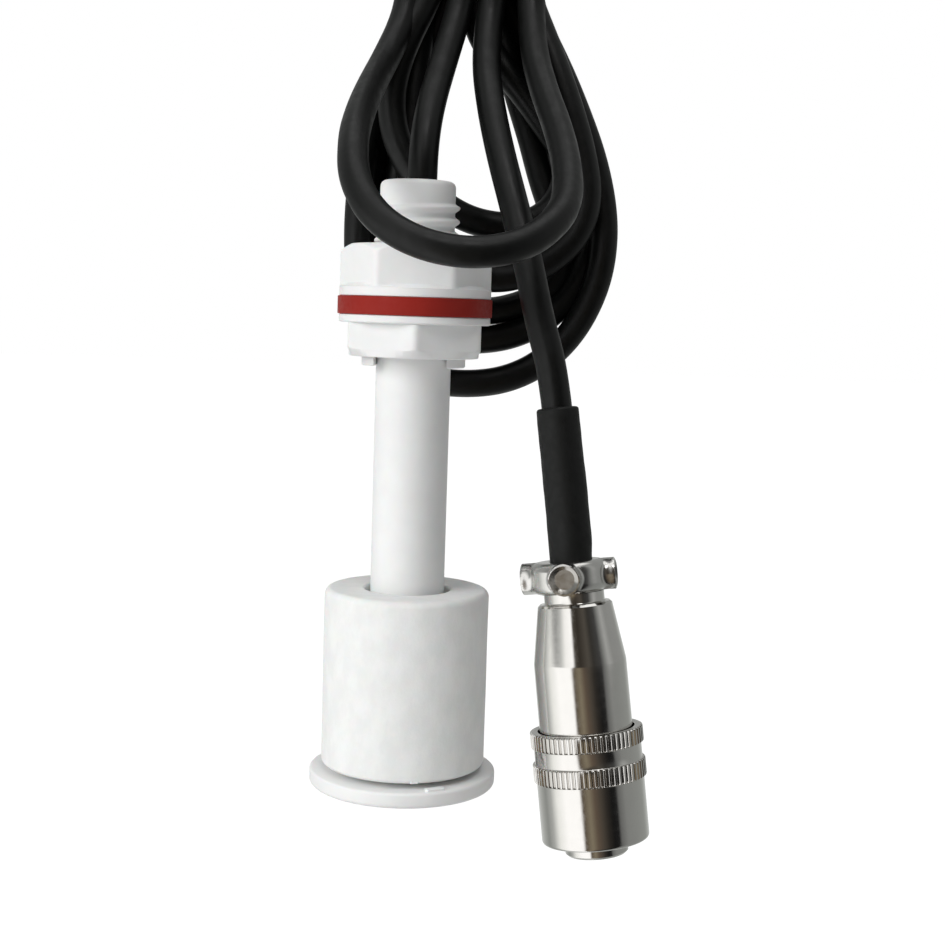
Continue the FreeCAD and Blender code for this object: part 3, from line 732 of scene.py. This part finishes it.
def add_float(material):
    """The float's outer moulding, with the pocket for its magnet."""
    low = FLOAT_LOW
    pocket_top = low + POCKET_DEPTH
    inner_r, outer_r = POCKET_R
    outline = filleted([
        (outer_r, low), (FLOAT_R, low, 0.6), (FLOAT_R, FLOAT_TOP, 0.95), (FLOAT_BORE_R, FLOAT_TOP, 0.4),
        (FLOAT_BORE_R, low, 0.2), (inner_r, low), (inner_r, pocket_top), (outer_r, pocket_top),
    ], steps=7)
    piece = lathe("float_moulding", divided(outline, 1.0, closed=True), material, float_reach)
    dress(piece, "float", "float_plastic", "float_body")
    stub = rim_block("float_gate", FLOAT_R - FLOAT_GATE_OUT, FLOAT_GATE_OUT, FLOAT_GATE_W, low + 0.05,
                     low + 0.6, FLOAT_GATE_TURN, material)
    dress(stub, "float", "float_plastic", "float_body")


# Connector

CLAMP_MID = 3.5
CLAMP_H = 4.2
CLAMP_RING_R = 5.2
CLAMP_SHIFT = -0.45
CLAMP_BORE_R = 2.86
CLAMP_INSIDE = CLAMP_RING_R - 1.25
BOSSES = 4
BOSS_R = 2.1
BOSS_REACH = 6.3
BOSS_TURN = -9.5
BOSS_BLEND = 1.0
RECESS = (2.6, 8.0)
MOUTH_R = 1.9
MOUTH_DEPTH = 1.0
SCREW_R = 1.2
SCREW_TOP = 5.2
SCREW_GAP = 0.02
SLOT_W = 0.44
SLOT_DEPTH = 0.5
SHELL_TOP_R = 4.95
SHELL_JOIN = (6.12, -7.8)
SHELL_R = 6.175
SHELL_END = -17.72
SHELL_BORE_R = 2.1
SHELL_NECK_R = 4.0
SHELL_NECK_TOP = 1.4
SOCKET_R = 5.2
SOCKET_TOP = -14
CHAMBER_R = 3.9
STEP_R = 6.0
STEP_END = -18.7
RING_TOP = -16.7
RING_R = 7.125
RING_BORE_R = 6.45
RING_BANDS = (2.15, 4.3, 6.65, 14.9)
RING_MOUTH_R = 6.25
RING_SEAT_R = 5.26
RING_SEAT = (-19, -20.4)
KNURL_R = 7.5
KNURL_TEETH = 64
KNURL_DEPTH = 0.34


def clamp_reach(r, z, angle):
    """The cast clamp: a barrel with four blended round bosses."""
    if r < CLAMP_INSIDE:
        return r
    off = math.radians((math.degrees(angle) - BOSS_TURN + 45) % 90 - 45)
    high = z - CLAMP_MID
    half = math.sqrt(max(BOSS_R**2 - high * high, 0.0004))
    side = half / max(abs(math.sin(off)), 0.02)
    end = BOSS_REACH / math.cos(off)
    edge = 1 - 0.03 * (high / BOSS_R) ** 4
    return smooth_max(r, smooth_min(side, end, 0.3) * edge, BOSS_BLEND)


def bore_boss(clamp, turn, material):
    """Bores a boss for its screw, with a dished mouth."""
    cut_out(clamp, boss_rod("recess", SCREW_R + SCREW_GAP, *RECESS, turn, 0.0, material))
    past = MOUTH_DEPTH + 1
    dish = [(0, 0), (SCREW_R + 0.1, 0), (MOUTH_R, MOUTH_DEPTH), (MOUTH_R, past), (0, past)]
    mouth = lathe("mouth", dish, material, segments=ROD_SEGMENTS)
    mouth.data.transform(boss_matrix(turn, BOSS_REACH - MOUTH_DEPTH))
    cut_out(clamp, mouth)


def add_screw(name, turn, slot_turn, material):
    """A slotted screw in a boss, down to the sleeve."""
    seat = CLAMP_BORE_R - CLAMP_SHIFT * math.cos(math.radians(turn))
    screw = boss_rod(name, SCREW_R - SCREW_GAP, seat, SCREW_TOP, turn, -0.12, material)
    slot = box_piece("slot", (-1.5, 1.5), (-SLOT_W / 2, SLOT_W / 2), (0, SLOT_DEPTH + 0.05), material)
    across = Matrix.Rotation(math.radians(slot_turn), 4, "Z")
    slot.matrix_world = boss_matrix(turn, SCREW_TOP - SLOT_DEPTH) @ across
    cut_out(screw, slot)
    on_the_connector(screw)
    dress(screw, "switch", "screw_steel", "clamp_screws")


def add_clamp(material, dark):
    """The clamp on the sleeve, its bosses bored for slotted screws."""
    low = CLAMP_MID - CLAMP_H / 2
    high = CLAMP_MID + CLAMP_H / 2
    outline = filleted([(CLAMP_BORE_R, low), (CLAMP_RING_R, low, 1.2), (CLAMP_RING_R, high, 1.2),
                        (CLAMP_BORE_R, high, 0.2)], steps=8)
    piece = lathe("clamp", divided(outline, 0.15, closed=True), material, clamp_reach, FINE_SEGMENTS)
    for vertex in piece.data.vertices:
        out = math.hypot(vertex.co.x, vertex.co.y) / MM
        vertex.co.x += CLAMP_SHIFT * MM * smooth_step(CLAMP_BORE_R + 0.04, CLAMP_INSIDE, out)
    turns = [BOSS_TURN + 360 / BOSSES * k for k in range(BOSSES)]
    for turn in turns:
        bore_boss(piece, turn, material)
    on_the_connector(piece)
    dress(piece, "switch", "plated_metal", "cable_clamp")
    for k, turn in enumerate(turns):
        add_screw(f"screw_{k}", turn, 35 + 50 * k, dark)


def boss_matrix(turn, out):
    """The frame of a boss: Z points out of the clamp, from the given distance out."""
    a = math.radians(turn)
    outward = Vector((math.cos(a), math.sin(a), 0))
    place = outward * out + Vector((CLAMP_SHIFT, 0, CLAMP_MID))
    return Matrix.Translation(place * MM) @ outward.to_track_quat("Z", "Y").to_matrix().to_4x4()


def boss_rod(name, radius, start, end, turn, flare, material):
    """A rod along a boss, wider by flare at its outer end."""
    length = end - start
    outline = [(0, 0), (radius, 0), (radius, length - abs(flare)), (radius + flare, length), (0, length)]
    rod = lathe(name, outline, material, segments=ROD_SEGMENTS)
    rod.data.transform(boss_matrix(turn, start))
    return rod


def box_piece(name, across, deep, tall, material):
    """A plain box between the given limits."""
    verts = [(x, y, z) for x in across for y in deep for z in tall]
    faces = [(0, 1, 3, 2), (4, 6, 7, 5), (0, 4, 5, 1), (2, 3, 7, 6), (0, 2, 6, 4), (1, 5, 7, 3)]
    return finish_mesh(name, verts, faces, material)


def add_backshell(material):
    """Neck, cone and barrel of the shell, with a crease where the cone ends."""
    top = filleted([
        (SHELL_BORE_R, SHELL_NECK_TOP), (SHELL_NECK_R, SHELL_NECK_TOP), (SHELL_NECK_R, 0, 0.25),
        (SHELL_TOP_R - 0.3, 0),
    ], closed=False)
    r, z = SHELL_JOIN
    cone = divided([(SHELL_TOP_R, -0.3), (r - 0.02, z + 0.14)], 0.6) + [(r, z)]
    barrel = divided([(r + 0.005, z - 0.14), (SHELL_R, SHELL_END)], 1.0)
    low = [(STEP_R, SHELL_END - 0.18), (STEP_R, STEP_END), (SOCKET_R, STEP_END), (SOCKET_R, SOCKET_TOP),
           (CHAMBER_R, SOCKET_TOP), (CHAMBER_R, -9.7), (SHELL_BORE_R, -3.0)]
    piece = on_the_connector(lathe("shell", top + cone + barrel + low, material))
    dress(piece, "switch", "plated_metal", "backshell")


def knurl_reach(r, z, angle):
    """Straight rounded teeth where the outline reaches the knurl's radius."""
    if r < RING_R + 0.2:
        return r
    share = (angle * KNURL_TEETH / (2 * math.pi)) % 1
    tooth = smooth_step(0.12, 0.3, abs(share - 0.5))
    return r - KNURL_DEPTH * (1 - tooth)


def add_ring(material):
    """The coupling ring with its two knurled bands."""
    top = RING_TOP
    first_end, second, second_end, end = (top - down for down in RING_BANDS)
    seat_top, seat_low = RING_SEAT
    outline = filleted([
        (RING_BORE_R, top, 0.1), (KNURL_R, top, 0.22), (KNURL_R, first_end, 0.18),
        (RING_R, first_end, 0.1), (RING_R, second, 0.1), (KNURL_R, second, 0.18),
        (KNURL_R, second_end, 0.2), (RING_R, second_end, 0.1), (RING_R, end, 0.45),
        (RING_MOUTH_R, end, 0.1), (RING_MOUTH_R, seat_low), (RING_SEAT_R, seat_low),
        (RING_SEAT_R, seat_top), (RING_BORE_R, seat_top),
    ], steps=4)
    piece = on_the_connector(lathe("knurled_ring", outline, material, knurl_reach, KNURL_SEGMENTS))
    dress(piece, "ring", "plated_metal", "coupling_ring")


SLEEVE_R = (2.02, 2.82)
SLEEVE_SKIN_R = 2.5
SLEEVE_LOW = 1.4
SLEEVE_TOP = 25.8
SLEEVE_SEGMENTS = 96


def sleeve_reach(r, z, angle):
    """The shrunk tube's uneven skin, fuller on one side above the clamp."""
    if r < SLEEVE_SKIN_R:
        return r
    lean = (0.07 + 0.12 * math.cos(angle)) * smooth_step(5.7, 8.0, z) * smooth_step(25.0, 13.0, z)
    return r * (1 + 0.006 * math.sin(0.9 * z + 2 * angle) + 0.004 * math.sin(2.3 * z - angle)) + lean


def add_sleeve(material):
    """The shrink tube over the cable's end."""
    inner_r, outer_r = SLEEVE_R
    outline = filleted([(inner_r, SLEEVE_LOW), (outer_r, SLEEVE_LOW), (outer_r, SLEEVE_TOP, 0.4),
                        (inner_r, SLEEVE_TOP + 0.1, 0.1)], steps=5)
    outline = divided(outline, 0.8, closed=True)
    piece = on_the_connector(lathe("sleeve", outline, material, sleeve_reach, SLEEVE_SEGMENTS))
    dress(piece, "switch", "sleeve_rubber", "shrink_sleeve")


# Tie

TIE_X = (-4.6, 17.4)
TIE_V = (-9.3, 2.1)
TIE_T = 1.25
TIE_BAND = 3.6
TIE_CORNER = 2.3
TIE_STEPS = 8
TOOTH = 0.9
TOOTH_DEPTH = 0.12


def tie_path():
    """Places and outward directions round the waist's rounded corners, both across and through."""
    x0, x1 = TIE_X
    v0, v1 = TIE_V
    r = TIE_CORNER
    corners = [(x1 - r, v1 - r, 0), (x0 + r, v1 - r, 90), (x0 + r, v0 + r, 180), (x1 - r, v0 + r, 270)]
    points = []
    for x, v, turn in corners:
        for k in range(TIE_STEPS + 1):
            a = math.radians(turn + 90 * k / TIE_STEPS)
            points.append((x + r * math.cos(a), v + r * math.sin(a), math.cos(a), math.sin(a)))
    return points


def strap(material):
    """The ribbed strap as a closed band."""
    points = tie_path()
    dense = []
    for start, end in zip(points, points[1:] + points[:1]):
        steps = max(1, round(math.dist(start[:2], end[:2]) / (TOOTH / 2)))
        dense += [tuple(a + (b - a) * k / steps for a, b in zip(start, end)) for k in range(steps)]
    half = TIE_BAND / 2
    section = [(0, -half + 0.2), (0.2, -half), (TIE_T - 0.3, -half), (TIE_T, -half + 0.4),
               (TIE_T, half - 0.4), (TIE_T - 0.3, half), (0.2, half), (0, half - 0.2)]
    verts = []
    rows = []
    for k, (x, v, nx, nv) in enumerate(dense):
        rib = TOOTH_DEPTH * (k % 2)
        row = []
        for out, w in section:
            reach = out - (rib if out == TIE_T else 0)
            row.append(len(verts))
            verts.append(on_hank(x + nx * reach, v + nv * reach, TIE_W + w))
        rows.append(row)
    faces = []
    count = len(section)
    for row, following in zip(rows, rows[1:] + rows[:1]):
        for j in range(count):
            faces.append((row[j], row[(j + 1) % count], following[(j + 1) % count], following[j]))
    return finish_mesh("strap", verts, faces, material)


def tie_block(name, across, deep, tall, x, edge, segments, material):
    """A block with rounded edges behind the waist, leaning as the hank does."""
    block = box_piece(name, across, deep, tall, material)
    edges = block.modifiers.new("round", "BEVEL")
    edges.width = edge * MM
    edges.segments = segments
    place = Matrix.Translation(on_hank(x, TIE_V[1] + TIE_T - 0.2, TIE_W) * MM)
    block.matrix_world = place @ Matrix.Rotation(-HANK_LEAN, 4, "X")
    return block


def add_tie(material):
    """A nylon tie round the hank's waist: ribbed strap, head behind and a cut end."""
    middle = sum(TIE_X) / 2
    pieces = [
        strap(material),
        tie_block("tie_head", (-3.0, 3.0), (-0.3, 3.4), (-2.3, 2.3), middle, 0.5, 3, material),
        tie_block("tie_end", (-0.65, 0.65), (-1.4, 4.6), (-1.6, 1.6), middle + 0.6, 0.25, 2, material),
    ]
    for piece in pieces:
        dress(piece, "switch", "tie_plastic", "cable_tie")


# Materials

WHITE = (1, 1, 1)


def math_node(tree, operation, *values):
    """The result of an operation on values that are numbers or other nodes' outputs."""
    node = tree.nodes.new("ShaderNodeMath")
    node.operation = operation
    for value, socket in zip(values, node.inputs):
        if isinstance(value, (int, float)):
            socket.default_value = value
        else:
            tree.links.new(value, socket)
    return node.outputs[0]


def range_node(tree, value, span, to_span, kind="SMOOTHSTEP"):
    """The value's range over a span, drawn out to another span."""
    node = tree.nodes.new("ShaderNodeMapRange")
    node.interpolation_type = kind
    for name, number in zip(("From Min", "From Max", "To Min", "To Max"), span + to_span):
        node.inputs[name].default_value = number
    tree.links.new(value, node.inputs["Value"])
    return node.outputs["Result"]


def mix_node(tree, factor, first, second):
    """A colour between two, which are plain colours or other nodes' outputs."""
    node = tree.nodes.new("ShaderNodeMix")
    node.data_type = "RGBA"
    tree.links.new(factor, node.inputs["Factor"])
    for colour, name in ((first, "A"), (second, "B")):
        socket = next(s for s in node.inputs if s.name == name and s.type == "RGBA")
        if isinstance(colour, tuple):
            socket.default_value = (*colour, 1)
        else:
            tree.links.new(colour, socket)
    return next(s for s in node.outputs if s.type == "RGBA")


class Look:
    """A material in the making: its node tree, its shader and short ways to add detail."""

    def __init__(self, name, roughness, metallic=0.0):
        self.material = bpy.data.materials.new(name)
        self.material.use_nodes = True
        self.tree = self.material.node_tree
        self.shader = self.tree.nodes["Principled BSDF"]
        self.shader.inputs["Roughness"].default_value = roughness
        self.shader.inputs["Metallic"].default_value = metallic
        self.place = self.tree.nodes.new("ShaderNodeTexCoord").outputs["Object"]

    def link(self, source, target):
        self.tree.links.new(source, target)

    def stretched(self, x, y, z):
        """The object's coordinates, stretched along the axes."""
        node = self.tree.nodes.new("ShaderNodeMapping")
        node.inputs["Scale"].default_value = (x, y, z)
        self.link(self.place, node.inputs["Vector"])
        return node.outputs["Vector"]

    def noise(self, size_mm, detail=3.0, roughness=0.5, place=None, distortion=0.0):
        """Soft noise whose features are about size_mm across."""
        node = self.tree.nodes.new("ShaderNodeTexNoise")
        node.inputs["Scale"].default_value = 1 / (size_mm * MM)
        node.inputs["Detail"].default_value = detail
        node.inputs["Roughness"].default_value = roughness
        node.inputs["Distortion"].default_value = distortion
        self.link(place or self.place, node.inputs["Vector"])
        return node.outputs["Fac"]

    def spread(self, value, low, high, to_low, to_high):
        """The value's range from low to high, drawn out to another range."""
        return range_node(self.tree, value, (low, high), (to_low, to_high))

    def mixed(self, factor, first, second):
        """A colour between two."""
        return mix_node(self.tree, factor, first, second)

    def colour(self, source):
        self.link(source, self.shader.inputs["Base Color"])

    def roughness(self, source):
        self.link(source, self.shader.inputs["Roughness"])

    def bump(self, source, depth_mm, strength=1.0):
        """Raises the surface by the source, on top of any bump given before."""
        node = self.tree.nodes.new("ShaderNodeBump")
        node.inputs["Distance"].default_value = depth_mm * MM
        node.inputs["Strength"].default_value = strength
        self.link(source, node.inputs["Height"])
        normal = self.shader.inputs["Normal"]
        if normal.is_linked:
            self.link(normal.links[0].from_socket, node.inputs["Normal"])
        self.link(node.outputs["Normal"], normal)


def moulded_white():
    """White moulded polypropylene: a soft skin with a faint grain."""
    look = Look("moulded white", 0.45)
    look.shader.inputs["Subsurface Weight"].default_value = 0.12
    look.shader.inputs["Subsurface Scale"].default_value = 0.6 * MM
    look.colour(look.mixed(look.noise(2.6, 4), (0.80, 0.805, 0.80), (0.86, 0.865, 0.86)))
    look.roughness(look.spread(look.noise(0.9, 3), 0.3, 0.7, 0.38, 0.5))
    look.bump(look.noise(1.6, 2), 0.02)
    look.bump(look.noise(0.22, 2), 0.004)
    return look.material


def foamed_white():
    """Foamed polypropylene: faintly blotchy, with streaks from the mould."""
    look = Look("foamed white", 0.6)
    look.shader.inputs["Subsurface Weight"].default_value = 0.2
    look.shader.inputs["Subsurface Scale"].default_value = 0.8 * MM
    blotches = look.spread(look.noise(2.2, 5, 0.62, look.stretched(1, 1, 0.55)), 0.35, 0.68, 0, 1)
    look.colour(look.mixed(blotches, (0.80, 0.81, 0.80), (0.85, 0.858, 0.848)))
    look.roughness(look.spread(look.noise(1.2, 4), 0.3, 0.7, 0.5, 0.68))
    look.bump(look.noise(1.5, 4, 0.6, look.stretched(1, 1, 0.6)), 0.045)
    look.bump(look.noise(0.35, 3), 0.012)
    return look.material


def red_rubber():
    """Red silicone rubber."""
    look = Look("red rubber", 0.5)
    look.shader.inputs["Specular IOR Level"].default_value = 0.25
    look.colour(look.mixed(look.noise(3.0, 3), (0.235, 0.012, 0.008), (0.29, 0.018, 0.011)))
    look.roughness(look.spread(look.noise(0.7, 3), 0.3, 0.7, 0.42, 0.58))
    look.bump(look.noise(0.5, 3), 0.008)
    return look.material


def cable_jacket():
    """Black cable jacket: satin, a little wavy, with faint scuffs."""
    look = Look("cable jacket", 0.45)
    look.shader.inputs["Specular IOR Level"].default_value = 0.28
    look.colour(look.mixed(look.noise(5.0, 4), (0.0024, 0.0026, 0.0025), (0.0042, 0.0046, 0.0044)))
    look.roughness(look.spread(look.noise(2.0, 5, 0.6), 0.3, 0.7, 0.36, 0.48))
    look.bump(look.noise(2.5, 2), 0.05)
    look.bump(look.noise(0.3, 3), 0.004)
    return look.material


def shrink_tube():
    """Matt black heat-shrink tube."""
    look = Look("shrink tube", 0.55)
    look.shader.inputs["Specular IOR Level"].default_value = 0.26
    look.colour(look.mixed(look.noise(2.0, 4), (0.0045, 0.0048, 0.0045), (0.0075, 0.0080, 0.0078)))
    look.roughness(look.spread(look.noise(1.0, 4), 0.3, 0.7, 0.48, 0.62))
    look.bump(look.noise(1.8, 3), 0.04)
    look.bump(look.noise(0.25, 3), 0.006)
    return look.material


def plated(name, roughness, tint):
    """Turned or plated metal, with faint rings from the lathe and tiny pits."""
    look = Look(name, roughness, 1.0)
    look.colour(look.mixed(look.noise(1.5, 4), tint, tuple(c * 0.93 for c in tint)))
    look.roughness(look.spread(look.noise(0.8, 4), 0.3, 0.7, roughness - 0.03, roughness + 0.04))
    look.bump(look.noise(1.0, 2, 0.5, look.stretched(0.06, 0.06, 7)), 0.0006)
    look.bump(look.noise(2.0, 3), 0.003)
    return look.material


def fine_black(name, roughness):
    """Black nylon or moulded insulator."""
    look = Look(name, roughness)
    look.colour(look.mixed(look.noise(1.5, 3), (0.010, 0.010, 0.010), (0.018, 0.018, 0.018)))
    look.roughness(look.spread(look.noise(0.6, 3), 0.3, 0.7, roughness - 0.06, roughness + 0.06))
    look.bump(look.noise(0.4, 3), 0.006)
    return look.material


def inner(name, first, second, roughness, metallic=0.0):
    """A plain look with a little grain, for what lies inside."""
    look = Look(name, roughness, metallic)
    look.colour(look.mixed(look.noise(0.8, 3), first, second))
    look.roughness(look.spread(look.noise(0.5, 3), 0.3, 0.7, roughness - 0.05, roughness + 0.05))
    look.bump(look.noise(0.3, 2), 0.004)
    return look.material


def capsule_glass():
    """The reed capsule's greenish glass."""
    look = Look("capsule glass", 0.05)
    look.shader.inputs["Transmission Weight"].default_value = 0.9
    look.colour(look.mixed(look.noise(2.0, 2), (0.55, 0.78, 0.64), (0.62, 0.82, 0.70)))
    look.bump(look.noise(1.5, 2), 0.004)
    return look.material


def all_looks():
    """Each of the record's material slots with its look."""
    return {
        "white_plastic": moulded_white(),
        "float_plastic": foamed_white(),
        "ferrite": inner("ferrite", (0.02, 0.02, 0.022), (0.035, 0.035, 0.037), 0.6),
        "red_rubber": red_rubber(),
        "capsule_glass": capsule_glass(),
        "reed_metal": plated("reed metal", 0.35, (0.62, 0.61, 0.58)),
        "clear_sleeve": inner("clear sleeve", (0.6, 0.6, 0.58), (0.7, 0.7, 0.68), 0.4),
        "wire_black": inner("black core", (0.012, 0.012, 0.012), (0.02, 0.02, 0.02), 0.4),
        "wire_red": inner("red core", (0.35, 0.015, 0.012), (0.42, 0.025, 0.02), 0.4),
        "resin": inner("resin", (0.5, 0.49, 0.45), (0.6, 0.58, 0.54), 0.25),
        "cable_jacket": cable_jacket(),
        "tie_plastic": fine_black("tie nylon", 0.42),
        "sleeve_rubber": shrink_tube(),
        "plated_metal": plated("nickel plate", 0.11, (0.68, 0.665, 0.64)),
        "screw_steel": plated("screw", 0.3, (0.30, 0.29, 0.275)),
        "insulator_plastic": fine_black("insulator", 0.38),
        "contact_metal": plated("contact", 0.25, (0.75, 0.60, 0.34)),
    }


# Stage

FLOOR_Z = -0.16
FLOOR_HALF = 4.0
FLOOR_GLOW = 1.16
FLOOR_GLOW_SHARE = 0.86
WORLD_DIFFUSE = 0.26
WORLD_GLOSS = 1.5
WALLS_MEET = (-0.03, 0.07)

# Lamps, each with its place, its size and its power
KEY = ((-0.75, -0.62, 0.42), 0.7, 8.5)
TOP = ((0.05, 0.10, 0.9), 0.7, 1.5)
FRONT = ((0.11, -0.48, 0.80), 0.34, 1.4)
AIM = Vector((0.008, 0, -0.01))


def add_lamp(name, place, size, power):
    """A soft square lamp that looks at the object."""
    data = bpy.data.lights.new(name, "AREA")
    data.shape = "SQUARE"
    data.size = size
    data.energy = power
    lamp = bpy.data.objects.new(name, data)
    lamp.location = place
    lamp.rotation_euler = (AIM - Vector(place)).to_track_quat("-Z", "Y").to_euler()
    bpy.context.scene.collection.objects.link(lamp)
    return lamp


# The walls that gloss mirrors, round from behind over the left, the front and the right, as (azimuth,
# red, green, blue): the low walls for what looks down, the high ones for what looks up
LOW_WALLS = [
    (-180, 0.50, 0.51, 0.50),
    (-122, 0.24, 0.25, 0.24),
    (-102, 0.38, 0.39, 0.38),
    (-84, 0.80, 0.81, 0.79),
    (-60, 1, 1, 1),
    (-27, 1, 1, 1),
    (-21, 0.09, 0.07, 0.05),
    (-7, 0.20, 0.17, 0.12),
    (5, 0.10, 0.075, 0.055),
    (17, 0.06, 0.05, 0.04),
    (28, 0.025, 0.022, 0.019),
    (40, 0.008, 0.008, 0.008),
    (51, 0.012, 0.012, 0.012),
    (56, 0.12, 0.122, 0.12),
    (72, 0.20, 0.205, 0.20),
    (130, 0.24, 0.25, 0.24),
    (180, 0.50, 0.51, 0.50),
]
HIGH_WALLS = [
    (-180, 0.25, 0.255, 0.25),
    (-118, 0.27, 0.275, 0.27),
    (-95, 0.29, 0.295, 0.29),
    (-78, 0.20, 0.205, 0.20),
    (-66, 0.27, 0.275, 0.27),
    (-52, 0.50, 0.51, 0.50),
    (-40, 0.88, 0.88, 0.87),
    (-22, 1, 1, 1),
    (-17, 0.06, 0.052, 0.042),
    (-4, 0.03, 0.025, 0.02),
    (17, 0.07, 0.062, 0.052),
    (30, 0.03, 0.028, 0.025),
    (50, 0.045, 0.045, 0.045),
    (62, 0.19, 0.195, 0.19),
    (74, 0.33, 0.335, 0.33),
    (90, 0.23, 0.235, 0.23),
    (180, 0.25, 0.255, 0.25),
]


def wall_ramp(tree, walls, share):
    """The colours of the room's walls, by the share of the way round."""
    ramp = tree.nodes.new("ShaderNodeValToRGB")
    stops = ramp.color_ramp.elements
    while len(stops) < len(walls):
        stops.new(0.5)
    for stop, wall in zip(stops, walls):
        stop.position = (wall[0] + 180) / 360
    for stop, wall in zip(stops, walls):
        stop.color = (*wall[1:], 1)
    tree.links.new(share, ramp.inputs["Fac"])
    return ramp.outputs["Color"]


def room_colour(tree):
    """The room's walls, low and high, with a soft change between them."""
    place = tree.nodes.new("ShaderNodeTexCoord")
    apart = tree.nodes.new("ShaderNodeSeparateXYZ")
    tree.links.new(place.outputs["Generated"], apart.inputs["Vector"])
    forward = math_node(tree, "MULTIPLY", apart.outputs["Y"], -1)
    around = math_node(tree, "ARCTAN2", apart.outputs["X"], forward)
    share = range_node(tree, around, (-math.pi, math.pi), (0, 1), "LINEAR")
    height = range_node(tree, apart.outputs["Z"], WALLS_MEET, (0, 1))
    return mix_node(tree, height, wall_ramp(tree, LOW_WALLS, share), wall_ramp(tree, HIGH_WALLS, share))


def world_strength(tree, rays):
    """Dim as a light on what is matt, full where it is seen, and brighter in gloss."""
    glossy = rays.outputs["Is Glossy Ray"]
    seen = math_node(tree, "MAXIMUM", rays.outputs["Is Camera Ray"], glossy)
    seen = math_node(tree, "MAXIMUM", seen, rays.outputs["Is Transmission Ray"])
    strength = range_node(tree, seen, (0, 1), (WORLD_DIFFUSE, 1), "LINEAR")
    return math_node(tree, "MULTIPLY_ADD", glossy, WORLD_GLOSS - 1, strength)


def add_world():
    """A pale studio: plain white, but for the walls that gloss mirrors."""
    world = bpy.data.worlds.new("studio")
    bpy.context.scene.world = world
    world.use_nodes = True
    tree = world.node_tree
    background = tree.nodes["Background"]
    rays = tree.nodes.new("ShaderNodeLightPath")
    tree.links.new(world_strength(tree, rays), background.inputs["Strength"])
    colour = mix_node(tree, rays.outputs["Is Glossy Ray"], WHITE, room_colour(tree))
    tree.links.new(colour, background.inputs["Color"])


def add_floor():
    """A white floor that keeps the object's shadow and meets the background without a line."""
    mesh = bpy.data.meshes.new("floor")
    corners = [(x * FLOOR_HALF, y * FLOOR_HALF, FLOOR_Z) for x, y in ((-1, -1), (1, -1), (1, 1), (-1, 1))]
    mesh.from_pydata(corners, [], [(0, 1, 2, 3)])
    floor = bpy.data.objects.new("floor", mesh)
    bpy.context.scene.collection.objects.link(floor)
    look = Look("floor", 0.9)
    look.colour(look.mixed(look.noise(40, 3), (0.86, 0.86, 0.86), (0.9, 0.9, 0.9)))
    glow = look.tree.nodes.new("ShaderNodeEmission")
    glow.inputs["Color"].default_value = (*WHITE, 1)
    glow.inputs["Strength"].default_value = FLOOR_GLOW
    both = look.tree.nodes.new("ShaderNodeMixShader")
    rays = look.tree.nodes.new("ShaderNodeLightPath")
    seen = math_node(look.tree, "MULTIPLY", rays.outputs["Is Camera Ray"], FLOOR_GLOW_SHARE)
    look.link(seen, both.inputs["Fac"])
    look.link(look.shader.outputs["BSDF"], both.inputs[1])
    look.link(glow.outputs["Emission"], both.inputs[2])
    look.link(both.outputs["Shader"], look.tree.nodes["Material Output"].inputs["Surface"])
    floor.data.materials.append(look.material)
    floor.visible_glossy = False


def colour_solids(looks):
    """Gives each solid the look of its slot."""
    for part in frame["record"]["subparts"]:
        node = nodes[part["node"]]
        node.data.materials.clear()
        node.data.materials.append(looks[part["material_slot"]])


bpy.context.scene.view_settings.view_transform = "Standard"
add_camera()
add_world()
add_floor()
key = add_lamp("key", *KEY)
key.visible_glossy = False
add_lamp("top", *TOP)
add_lamp("front", *FRONT)

looks = all_looks()
colour_solids(looks)
add_body(looks["white_plastic"])
add_stop(looks["white_plastic"])
add_gasket(looks["red_rubber"])
add_nut(looks["white_plastic"])
add_float(looks["float_plastic"])
add_clamp(plated("cast plate", 0.2, (0.64, 0.63, 0.61)), looks["screw_steel"])
add_backshell(looks["plated_metal"])
add_ring(looks["plated_metal"])
add_sleeve(looks["sleeve_rubber"])
add_tie(looks["tie_plastic"])

cable = add_cord(looks["cable_jacket"])
dress(cable, "switch", "cable_jacket", "cable_lead", "cable_front_loop", "cable_hank", "cable_tail")
